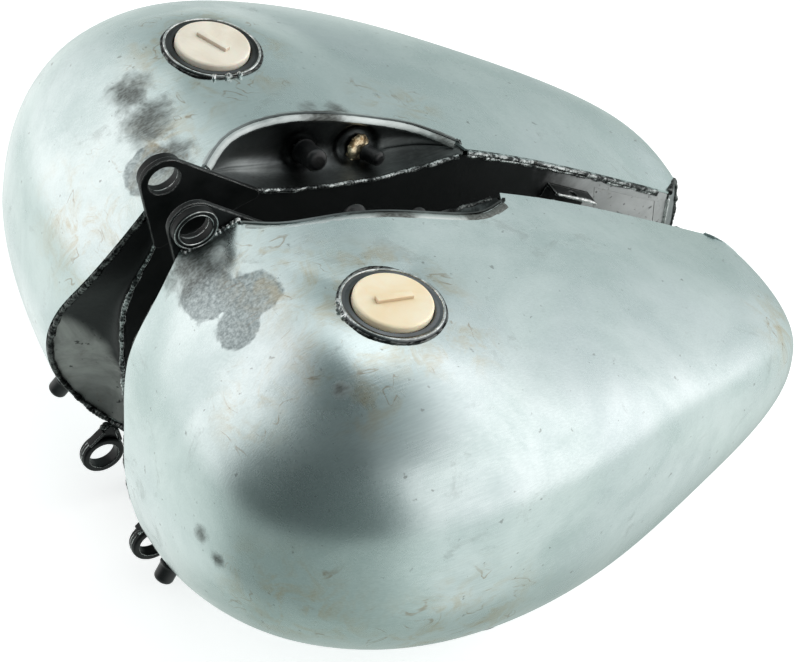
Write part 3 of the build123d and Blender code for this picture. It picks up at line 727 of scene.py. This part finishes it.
def skin_piece(side):
    rows = cols = 221
    ts = np.linspace(0, 1, rows)
    fine = np.linspace(0, 0.5, 400)
    g = skin(ts, fine)
    inside = (g[..., 1] < rim_y(g[..., 0]) + 1.2) & (g[..., 0] < 132.6) & (g[..., 0] > -45.6)
    start = np.where(inside.any(axis=1), fine[np.where(inside, np.arange(400), 0).max(axis=1)], 0.0)
    s = np.linspace(0, 1, cols)
    grid = skin(ts, start[:, None] + (1 - start[:, None]) * s[None])
    grid = seated(grid)
    mid = (grid[:-1, :-1] + grid[1:, 1:]) / 2
    keep = np.ones(mid.shape[:2], bool)
    for at, axis, radius in ((NECK_AT, NECK_AXIS, 30.5), (CROSS_AT, CROSS_N, 5.0), (TAP_AT, TAP_N, 10.5)):
        d, h = off_axis(mid, at, axis)
        keep &= ~((d < radius) & (np.abs(h) < 40))
    verts, faces = two_layers(grid, 1.6, keep)

    def cones(spots):
        out = np.zeros(len(verts))
        for x, y, z, r in spots:
            out = np.maximum(out, 1 - np.linalg.norm(verts - (x, y, z), axis=1) / r)
        return out

    marks = MARKS[side]
    attrs = {k: cones(marks[k]) for k in ("stain", "oxide", "soot_and_painted_reflection")}
    d, h = off_axis(verts, NECK_AT, NECK_AXIS)
    attrs["stain"] = np.maximum(attrs["stain"], 0.7 * bell(d, 40, 14) * (np.abs(h) < 30))
    piece(side, "skin", verts, faces, "skin", None, ["outer_shell"], 40, attrs)


# ---------------------------------------------------------------- pocket
def pocket_grid(us, vs):
    low, rim = np.array(POCKET_LOW[::-1], float), np.array(POCKET_RIM[::-1], float)
    xs = low[-1, 0] + np.asarray(us) * (low[0, 0] - low[-1, 0])
    zl = natural_spline(low[:, 0], low[:, 1], xs)[:, 0]
    yr = natural_spline(rim[:, 0], rim[:, 1], xs)[:, 0]
    grid = np.zeros((len(xs), len(vs), 3))
    v = np.asarray(vs)[:, None]
    for i, x in enumerate(xs):
        zr = crown_height(x, yr[i]) + 0.7
        h, w = zr - zl[i], yr[i] - WALL_Y
        p = np.array([(x, WALL_Y, zl[i]), (x, WALL_Y + 0.95 * w, zl[i] - 0.04 * h),
                      (x, WALL_Y + 1.06 * w, zl[i] + 0.2 * h), (x, yr[i], zr)])
        grid[i] = p[0] * (1 - v)**3 + 3 * p[1] * v * (1 - v)**2 + 3 * p[2] * v * v * (1 - v) + p[3] * v**3
    return grid


def pocket_point(u, v):
    return pocket_grid([u], [v])[0, 0]


VENT_AT, VENT_N = pocket_point(0.415, 0.60), unit((-0.05, -0.95, 0.30))
GAUGE_AT, GAUGE_N = pocket_point(0.632, 0.55), unit((-0.36, -0.93, 0.08))


def pocket_piece(side):
    us, vs = np.linspace(0, 1, 111), np.linspace(0, 1, 45)
    g = pocket_grid(us, vs)
    ends = []
    for row, sign in ((g[0], 1), (g[-1], -1)):
        rim = row[-1]
        rows = []
        for k in range(1, 6):
            f = k / 5 * math.pi / 2
            q = row + (rim - row) * (1 - math.cos(f))
            q[:, 0] = row[:, 0] + sign * 2.0 * math.sin(f)
            rows.append(q)
        ends.append(rows)
    first_x = g[0, 0, 0] > g[-1, 0, 0]
    if not first_x:
        for r0, r1 in zip(*ends):
            r0[:, 0] = 2 * g[0, 0, 0] - r0[:, 0]
            r1[:, 0] = 2 * g[-1, 0, 0] - r1[:, 0]
    grid = np.concatenate([np.array(ends[0][::-1]), g, np.array(ends[1])])
    n = normals(grid)
    if n[60, 20, 1] > 0:
        n = -n
    d = np.linalg.norm(grid - GAUGE_AT, axis=2)
    e = np.linalg.norm(grid - VENT_AT, axis=2)
    crease = 0.9 * bell(vs, 0.40, 0.035)[None] * np.sin(np.linspace(0, math.pi, len(grid)))[:, None]**0.5
    press = 1.7 * bell(d, 12.4, 2.8) - 0.5 * bell(d, 17.5, 1.8) + 0.8 * bell(e, 11.5, 2.5)
    fade = np.clip((grid[..., 2] - grid[:, :1, 2]) / 6, 0, 1)
    grid = grid - n * (press * fade)[..., None] + n * (crease * (d > 19) * (e > 14))[..., None]
    verts, faces = two_layers(grid if (normals(grid)[60, 20, 1] > 0) else grid[::-1], 1.4)
    dv = np.linalg.norm((verts - VENT_AT) * (1, 1, 0.8), axis=1)
    dg = np.linalg.norm(verts - GAUGE_AT, axis=1)
    burnt = 1.15 * bell(dv, 0, 24) + 0.8 * bell(dg, 13, 7) + 0.75 * bell(verts[:, 0], -18, 26)
    burnt = np.clip(burnt, 0, 0.94)
    if side == "left":
        burnt = np.maximum(burnt, np.clip((8 - verts[:, 0]) / 20, 0, 0.97))
    piece(side, "pocket_liner", verts, faces, "pocket", None, ["dash_pocket"], 45, {"scorch": burnt})
    rim = grid[4:-4, -1] + (0, 1.5 if side == "right" else 3.6, -3.9)
    v, f = bead(rim, 4.3, 5, 9.0, 0.02, rough=0.03, step=1.0)
    x = v[:, 0]
    marks = {"stain": 0 * x, "oxide": 0 * x, "soot_and_painted_reflection": 0.9 * bell(x, 42, 15) + 0.5 * bell(x, -38, 9)}
    if side == "left":
        marks["soot_and_painted_reflection"] = np.maximum(marks["soot_and_painted_reflection"], np.clip(-x / 12, 0, 1))
    piece(side, "pocket_rim", v, f, "rim", None, attrs=marks)
    low = grid[6:-6, 0] + (0, -0.5, -0.7)
    v, f = bead(low, 1.8, 6, 2.4, 0.14, rough=0.3)
    piece(side, "pocket_weld", v, f, "weld" if side == "right" else "weld_dark", None)


# ---------------------------------------------------------------- filler
def neck_piece(side):
    prof = [(23.3, -24.0), (27.0, -24.0), (27.0, -9.5), (31.8, -8.6), (32.3, -3.4)]
    prof += arc(31.0, -2.4, 1.3, 0, 90, 6) + [(30.3, -1.4)]
    prof += arc(28.2, -1.6, 1.6, 190, 340, 9) + arc(26.3, -1.7, 0.7, 60, 170, 6)
    prof += [(25.0, -2.4), (25.0, -4.6), (23.3, -4.6)]
    v, f = lathe(prof, NECK_AT, NECK_AXIS, 160)
    piece(side, "neck_ring", v, f, "ring", None, ["filler_neck"], 32)
    x, y, z = axes_at(NECK_AXIS)
    ang = np.linspace(0, 2 * math.pi, 181)

    def circle_at(r, h):
        out = np.cos(ang)[:, None] * x + np.sin(ang)[:, None] * y
        return NECK_AT + r * out + np.broadcast_to(h, ang.shape)[:, None] * z

    v, f = bead(circle_at(31.0, -1.2), 0.8, 10, 9.0, 0.02, up=z, closed=True, rough=0.05, step=0.7)
    piece(side, "neck_lip", v, f, "edge", None)
    ring = circle_at(32.5, np.maximum(ring_height(ang), SEAT) + 0.5)
    v, f = bead(ring, 0.95, 11, 3.4, 0.10, up=z, closed=True, rough=0.16, step=0.7)
    piece(side, "neck_weld", v, f, "weld_dark", None)
    turn = {"left": (5.95, 6.15, 0.05), "right": (4.6, 4.85, 5.1)}[side]
    spots = [(ring[int(a / (2 * math.pi) * 180) % 180] + 0.7 * z, 2.0 + 0.4 * (n % 2))
             for n, a in enumerate(turn)]
    v, f = lumps(spots, 8)
    piece(side, "neck_lumps", v, f, "edge", None)


def plug_piece(side):
    prof = [(0, 2.7), (12.0, 2.7), (21.6, 2.65)] + arc(22.7, 0.9, 1.7, 90, 0, 9)[:-1]
    prof += [(24.4, 0.8), (24.4, -2.6), (22.5, -2.65), (22.5, -5.6)]
    for k in range(4):
        h = -6.4 - 2.4 * k
        prof += [(22.5, h), (22.95, h - 0.5), (22.95, h - 0.9), (22.5, h - 1.4)]
    prof += [(22.5, -17.0), (20.4, -17.0), (20.4, -2.0), (0, -2.0)]
    cup = lathe(prof, NECK_AT, NECK_AXIS, 128)
    x, y, z = axes_at(NECK_AXIS)
    a = math.radians(-3.0 if side == "left" else 62.0)
    xd, yd = math.cos(a) * x + math.sin(a) * y, -math.sin(a) * x + math.cos(a) * y
    bar = [(-11.8, -2.3), (11.8, -2.3), (11.8, 2.3), (-11.8, 2.3)]
    grip = curve_plate(bar, [], 5.4, 0.6, NECK_AT + 2.7 * z, xd, yd)
    v, f = merge(cup, grip)
    up = (v - NECK_AT) @ z
    # painted shade: 1 on the grip bar's lower sides down at the cap face, 0 on its top and on the cup
    bar_foot_shade = np.clip((5.3 - up) / 1.1, 0, 1) * (np.arange(len(v)) >= len(cup[0]))
    piece(side, "plug_face", v, f, "ivory_l" if side == "left" else "ivory_r", f"{side}_plug",
          ["filler_plug"], 30, {"bar_foot_shade": bar_foot_shade})


# ---------------------------------------------------------------- ears, rings, bracket
UPPER_EYE, LOWER_EYE, LOWER_Y = (161.6, 271.7), (213.6, 27.8), 42.5
XZ = ((1, 0, 0), (0, 0, 1))


def ear_pieces(side):
    x, z = UPPER_EYE
    loop = hull([(x, z, 15.8), (168, 222, 4.0), (104, 236, 4.0)])
    v, f = curve_plate(loop, [circle(x, z, 10.5)], 4.0, 0.55, (0, WALL_Y - 2.2, 0), *XZ)
    piece(side, "ear_plate", v, f, "black", None, ["upper_ear"], 30)
    prof = [(10.5, 0), (14.6, 0), (14.6, 4.6)] + arc(13.3, 4.7, 1.3, 0, 90, 6) + [(11.6, 6.0)] \
        + arc(11.5, 5.0, 1.0, 90, 180, 5)
    v, f = lathe(prof, (x, WALL_Y - 0.03, z), (0, 1, 0), 96)
    piece(side, "ear_bush", v, f, "black", None, ["upper_bush"], 30)
    ang = np.linspace(0, 2 * math.pi, 121)
    rims = []
    for r, y, seed in ((13.7, WALL_Y + 5.75, 51), (11.2, WALL_Y + 5.7, 52)):
        loop = np.c_[x + r * np.cos(ang), np.full(121, y), z + r * np.sin(ang)]
        rims.append(bead(loop, 0.42, seed, 7.0, 0.05, up=(0, 1, 0), closed=True, rough=0.55))
    v, f = merge(*rims)
    piece(side, "ear_bush_rims", v, f, "edge", None)
    # short weld where the ear meets the crown
    xs = np.linspace(136, 171, 24)
    line = np.c_[xs, np.full(24, WALL_Y + 1.4), height(TOP, xs) + 0.2]
    v, f = bead(line, 2.3, 21, 3.0, 0.16, rough=0.5)
    piece(side, "ear_weld", v, f, "weld", None)
    spots = [((q, WALL_Y + 1.6, height(TOP, np.array([q]))[0] + 0.3), 1.7 + 0.5 * math.sin(1.7 * q))
             for q in range(134, 152, 3)]
    v, f = lumps(spots, 22)
    piece(side, "ear_weld_lumps", v, f, "edge", None)
    x, z = LOWER_EYE
    loop = hull([(x, z, 14.9), (206.5, 45.6, 4.5)])
    arm = curve_plate(loop, [circle(x, z, 14.3)], 3.5, 0.6, (0, LOWER_Y, 0), *XZ)
    e1 = curve_plate(hull([(200.8, 38.0, 1.1), (202.2, 47.0, 1.1)]), [], 6.2, 0.5, (0, LOWER_Y - 1.4, 0), *XZ)
    e2 = curve_plate(hull([(221.6, 41.2, 1.1), (212.0, 48.6, 1.1)]), [], 6.2, 0.5, (0, LOWER_Y - 1.4, 0), *XZ)
    v, f = merge(arm, e1, e2)
    piece(side, "lower_arm", v, f, "black", None, ["lower_ear"], 30)
    prof = [(10.0, -3.7)] + arc(10.8, -3.7, 0.8, 180, 270, 4) + arc(13.0, -2.9, 1.6, 270, 360, 6) \
        + arc(13.0, 2.9, 1.6, 0, 90, 6) + arc(10.8, 3.7, 0.8, 90, 180, 4)
    v, f = lathe(prof, (x, LOWER_Y, z), (0, 1, 0), 96)
    piece(side, "lower_eye_ring", v, f, "black", None, ["lower_ring"], 30)
    rims = []
    for y, seed in ((LOWER_Y + 3.65, 53), (LOWER_Y - 3.65, 54)):
        loop = np.c_[x + 10.9 * np.cos(ang), np.full(121, y), z + 10.9 * np.sin(ang)]
        rims.append(bead(loop, 0.4, seed, 7.0, 0.05, up=(0, 1, 0), closed=True, rough=0.5))
    v, f = merge(*rims)
    piece(side, "lower_eye_rims", v, f, "edge", None)
    arcpts = [(x + 15.0 * math.cos(a), LOWER_Y + 2.0, z + 15.0 * math.sin(a))
              for a in np.linspace(0.9, 2.6, 30)]
    v, f = bead(arcpts, 1.0, 23, 2.2, 0.2, up=(0, 1, 0))
    piece(side, "lower_eye_weld", v, f, "weld", None)
    root = [(201.5, LOWER_Y - 1.5, 49.5), (206.5, LOWER_Y + 1.5, 50.0), (212.5, LOWER_Y - 1.5, 50.5)]
    v, f = bead(along(root, np.linspace(0, 1, 20)), 2.2, 24, 3.0, 0.2)
    piece(side, "lower_arm_weld", v, f, "weld_dark", None)


def tail_sheet_piece(side):
    loop = [(-147.3, 133.5), (-196.7, 99.9), (-196.7, 60.3), (-147.3, 60.3)]
    v, f = curve_plate(loop, [], 1.1, 0.3, (0, WALL_Y + 0.62, 0), *XZ)
    piece(side, "tail_recess_sheet", v, f, "wall", None)


def bracket_piece(side):
    c, s = math.cos(math.radians(35.0)), math.sin(math.radians(35.0))
    xd, zd = np.array((c, 0, s)), np.array((-s, 0, c))
    at = np.array((-122.0, WALL_Y - 1.05, 137.5))
    rng = np.random.RandomState(4)
    half = 19.5
    base = curve_plate([(-half, -7), (half, -7), (half, 7), (-half, 7)], [], 2.0, 0.5, at, xd, zd)
    edge = [(-half, 1.0), (half, 1.0)]
    edge += [(a, -11.6 + 0.45 * rng.uniform(-1, 1)) for a in np.linspace(half, -half, 26)]
    shelf = curve_plate(edge, [circle(0, -7.0, 3.25, 40)], 2.0, 0.5, at + 6.0 * zd, xd, (0, 1, 0))
    v, f = merge(base, shelf)
    piece(side, "bracket_angle", v, f, "black", None, ["console_bracket"], 30)
    lip = [at + xd * a + zd * 6.6 + np.array((0, -11.6, 0)) for a in np.linspace(-19, 19, 30)]
    v, f = bead(lip, 1.25, 31, 4.0, 0.1, rough=0.45, step=0.5)
    piece(side, "bracket_edge", v, f, "edge", None)
    spots = [(at + xd * a + zd * -6.8 + np.array((0, -0.4, 0)), 1.9) for a in (-17, -4, 9, 17)]
    v, f = lumps(spots, 9)
    piece(side, "bracket_welds", v, f, "weld", None)


# ---------------------------------------------------------------- caps and boss
def cap_profile(bore, outer, start, end, depth):
    p = [(0, end)] + arc(outer * 0.45, end - outer * 0.55, outer * 0.55, 90, 0, 9)
    p += [(outer, start + 3.4)] + arc(outer - 0.1, start + 1.3, 0.9, 60, -90, 7)
    p += [(bore + 0.06, start), (bore + 0.06, depth), (0, depth)]
    return p


def cap_pieces(side):
    for name, at, axis, bore, outer, start, end, depth in (
            ("vent_cap", VENT_AT, VENT_N, 4.0, 7.6, 4.0, 25.5, 15.4),
            ("gauge_cap", GAUGE_AT, GAUGE_N, 2.6, 5.0, 8.2, 22.5, 17.6),
            ("crossover_cap", CROSS_AT, CROSS_N, 4.0, 6.6, 3.0, 17.0, 13.4)):
        v, f = lathe(cap_profile(bore, outer, start, end, depth), at, axis, 72)
        piece(side, f"{name}_soft", v, f, "rubber", f"{side}_{name}_body", [name], 40)
    prof = [(0, 6.0), (7.0, 6.0)] + arc(9.8, 3.9, 2.1, 90, 0, 8)
    prof += [(11.9, 2.5), (8.42, 2.5), (8.42, -5.0), (7.4, -6.5), (0, -6.5)]
    v, f = lathe(prof, TAP_AT, TAP_N, 72)
    piece(side, "tap_plug_soft", v, f, "rubber", f"{side}_petcock_plug_body", ["petcock_plug"], 40)

    def uneven(r, h, a):
        return r + (0.5 * math.sin(3 * a + 0.6) + 0.3 * math.sin(7 * a)) * (r > 4) * (h > 1.5), \
            h + (0.3 * math.sin(4 * a + 1.0)) * (h > 2)

    prof = [(2.62, 0.8), (8.6, 0.8), (9.0, 2.6), (8.4, 3.8), (7.2, 4.8), (5.6, 5.6), (4.0, 6.1), (2.62, 6.3)]
    v, f = lathe(prof, GAUGE_AT, GAUGE_N, 64, uneven)
    x, y, z = axes_at(GAUGE_N)
    spots = [(GAUGE_AT + 8.3 * (math.cos(a) * x + math.sin(a) * y) + 1.8 * z, 1.5 + 0.5 * math.sin(5 * a))
             for a in np.linspace(0, 6.28, 11)[:-1]]
    v, f = merge((v, f), lumps(spots, 12))
    piece(side, "gauge_braze", v, f, "braze", None, ["gauge_boss"], 50)
    prof = [(1.5, 1.4), (2.6, 1.4), (2.6, 16.4)] + arc(2.05, 16.6, 0.55, 0, 90, 4) + [(1.5, 17.15)]
    v, f = lathe(prof, GAUGE_AT, GAUGE_N, 40)
    piece(side, "gauge_pipe", v, f, "ring", None, ["gauge_tube"], 35)
    x, y, z = axes_at(VENT_N)
    spots = [(VENT_AT + 5.4 * (math.cos(a) * x + math.sin(a) * y) + 1.2 * VENT_N, 1.5)
             for a in np.linspace(0, 6.28, 9)[:-1]]
    v, f = lumps(spots, 13)
    piece(side, "vent_braze", v, f, "weld_dark", None)


# ---------------------------------------------------------------- weld seams
def seam_pieces(side):
    for name, drop, out, r, seed in (("upper", 2.5, 0.5, 1.8, 41), ("lower", 5.6, -0.7, 1.8, 42)):
        xs = np.linspace(-48, -199, 240)
        pts = np.c_[xs, np.full(240, WALL_Y - out), height(TOP, xs) - drop]
        v, f = bead(pts, r, seed, 2.4, 0.14, rough=0.34)
        piece(side, f"top_weld_{name}", v, f, "weld", None)
    k = np.linspace(0.02, 0.98, 260)
    fr = np.array(FRONT, float)
    inner = along(np.c_[fr[:, 0], np.full(len(fr), WALL_Y), fr[:, 1]], k)
    outer = along(SEAM, k)
    to_wall = inner - outer
    reach = np.linalg.norm(to_wall, axis=1)
    to_wall /= reach[:, None]
    inset = np.minimum(2.5, reach * 0.35)[:, None]
    v, f = bead(outer + to_wall * inset + (-0.9, 0, 0), 2.35, 43, 2.6, 0.12, up=(1, 0, 0), rough=0.3)
    piece(side, "nose_weld", v, f, "weld_dark", None)
    line = inner - to_wall * np.minimum(0.8, reach * 0.2)[:, None] + (-0.4, 0, 0)
    v, f = bead(line, 2.1, 44, 2.6, 0.12, up=(1, 0, 0), rough=0.3)
    piece(side, "wall_front_weld", v, f, "weld", None)
    xs = np.linspace(193, -200, 300)
    low = np.c_[xs, np.full(300, WALL_Y - 0.2), height(BOTTOM, xs) + 2.2]
    v, f = bead(low, 1.7, 45, 3.2, 0.26, rough=0.4)
    piece(side, "belly_weld", v, f, "weld", None)
    tail = skin([1.0], np.linspace(0.004, 0.996, 170))[0] + (0.9, -0.5, 0)
    if side == "left":
        v, f = bead(tail, 1.3, 46, 3.0, 0.10, up=(1, 0, 0), rough=0.1)
    else:
        v, f = bead(tail + (-0.3, -0.4, 0), 2.0, 46, 3.0, 0.16, up=(1, 0, 0), rough=0.35)
    none = {k: np.zeros(len(v)) for k in ("stain", "oxide", "soot_and_painted_reflection")}
    piece(side, "tail_weld", v, f, "skin" if side == "left" else "weld_dark", None, attrs=none)
    wall = np.array([(TOP[-1][0], WALL_Y, TOP[-1][1]), (BOTTOM[-1][0], WALL_Y, BOTTOM[-1][1])], float)
    line = wall[0] + (wall[1] - wall[0]) * np.linspace(0.07, 0.97, 60)[:, None] + (0.6, -0.1, 0)
    v, f = bead(line, 1.7, 47, 6.0, 0.03, up=(1, 0, 0), rough=0.06)
    piece(side, "tail_wall_edge", v, f, "edge", None)


for side in ("left", "right"):
    skin_piece(side)
    pocket_piece(side)
    neck_piece(side)
    plug_piece(side)
    ear_pieces(side)
    tail_sheet_piece(side)
    bracket_piece(side)
    cap_pieces(side)
    seam_pieces(side)

# CAD nodes that stay, with their finishes
KEPT = {"inner_panel": "wall", "front_panel": "spoon", "tail_plate": "tail", "filler_gasket": "rubber",
        "vent_nipple": "ring", "crossover_nipple": "ring", "petcock_bung": "ring", "front_baffle": "wall",
        "rear_baffle": "wall", "stand_pipe": "ring"}
for side in ("left", "right"):
    for name, look in KEPT.items():
        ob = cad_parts[f"{side}_{name}"]
        for slot in ob.material_slots:
            slot.material = M[look]

# ---------------------------------------------------------------- stage and light
floor_mesh = bpy.data.meshes.new("floor")
FLOOR_HALF, FLOOR_Z = 6.0, -0.0005
CORNERS = ((-1, -1), (1, -1), (1, 1), (-1, 1))
floor_mesh.from_pydata([(a * FLOOR_HALF, b * FLOOR_HALF, FLOOR_Z) for a, b in CORNERS], [], [(0, 1, 2, 3)])
fm, nt, b = shader("pale_floor", 0.0, 0.9)
paint = blend(nt, noise(nt, place(nt), 3.0), rgb(0.86, 0.86, 0.86), rgb(0.88, 0.88, 0.88))
nt.links.new(paint, b.inputs["Base Color"])
b.inputs["Emission Color"].default_value = rgb(1, 1, 1)
b.inputs["Emission Strength"].default_value = 0.6
floor_mesh.materials.append(fm)
floor = bpy.data.objects.new("floor", floor_mesh)
scene.collection.objects.link(floor)
floor.visible_glossy = False

world = bpy.data.worlds.new("studio")
scene.world = world
world.use_nodes = True
wt = world.node_tree
bg = wt.nodes["Background"]
tc = wt.nodes.new("ShaderNodeTexCoord")
sep = wt.nodes.new("ShaderNodeSeparateXYZ")
wt.links.new(tc.outputs["Generated"], sep.inputs[0])
# Soft room, as (degrees round the vertical, brightness) at the horizon, overhead and towards the floor:
# a bright side to the rear, a second one to the front right, and a dark side in front.
AROUND = [(-180, 1.4), (-160, 0.9), (-150, 0.85), (-135, 0.55), (-118, 0.45), (-100, 0.6), (-80, 1.0),
          (-55, 1.3), (-33, 1.3), (-18, 0.9), (-9, 0.18), (15, 0.1), (45, 0.15), (70, 0.2), (82, 0.35),
          (88, 0.95), (96, 1.15), (150, 1.4), (180, 1.4)]
ABOVE = [(-180, 1.2), (-140, 1.4), (-100, 1.3), (-75, 0.8), (-50, 0.25), (0, 0.15), (70, 0.1), (100, 0.3),
         (150, 0.4), (180, 1.2)]
BELOW = [(-180, 1.0), (-160, 0.8), (-140, 0.6), (-120, 0.75), (-80, 1.15), (-40, 0.95), (-12, 0.7),
         (-2, 0.38), (35, 0.4), (62, 0.5), (80, 0.6), (88, 0.95), (150, 0.9), (180, 1.0)]


def round_ramp(table, tint_dark, tint_light):
    n = wt.nodes.new("ShaderNodeValToRGB")
    wt.links.new(around, n.inputs[0])
    e = n.color_ramp.elements
    e.remove(e[1])
    for k, (deg, v) in enumerate(table):
        q = e.new((deg + 180) / 360) if k else e[0]
        f = min(v / 1.2, 1.0)
        q.color = [v * (d + (t - d) * f) for d, t in zip(tint_dark, tint_light)] + [1]
    return n.outputs[0]


around = node(wt, "TexGradient", {"Vector": tc.outputs["Generated"]}, gradient_type="RADIAL").outputs["Fac"]
ring_light = round_ramp(AROUND, (0.78, 1.0, 0.98), (1.02, 1.0, 1.0))
dome_light = round_ramp(ABOVE, (0.78, 1.0, 0.99), (0.97, 1.0, 1.0))
floor_light = round_ramp(BELOW, (0.80, 1.0, 0.95), (0.98, 1.0, 0.98))
floor_light = blend(wt, ramp(wt, sep.outputs["Z"], -0.70, -0.96), floor_light, rgb(0.47, 0.54, 0.51))
sky = blend(wt, ramp(wt, sep.outputs["Z"], 0.66, 0.93), ring_light, dome_light)
sky = blend(wt, ramp(wt, sep.outputs["Z"], 0.04, -0.30), sky, floor_light)
wt.links.new(sky, bg.inputs["Color"])
bg.inputs["Strength"].default_value = 1.0


def area(name, at, to, size, power, colour=(1, 1, 1), size_y=None):
    li = bpy.data.lights.new(name, "AREA")
    li.shape = "RECTANGLE"
    li.size, li.size_y = size, size_y or size
    li.energy = power
    li.color = colour
    ob = bpy.data.objects.new(name, li)
    ob.location = at
    ob.visible_glossy = False
    ob.rotation_euler = (Vector(to) - Vector(at)).to_track_quat("-Z", "Y").to_euler()
    scene.collection.objects.link(ob)


area("key", (-1.7, 0.9, 1.5), (0, 0, 0.1), 1.7, 14, (1.0, 0.995, 0.98))
area("front_right_soft", (1.5, -1.3, 0.9), (0.1, 0, 0.15), 1.3, 6, (0.98, 1.0, 1.0))
scene.view_settings.view_transform = "Standard"
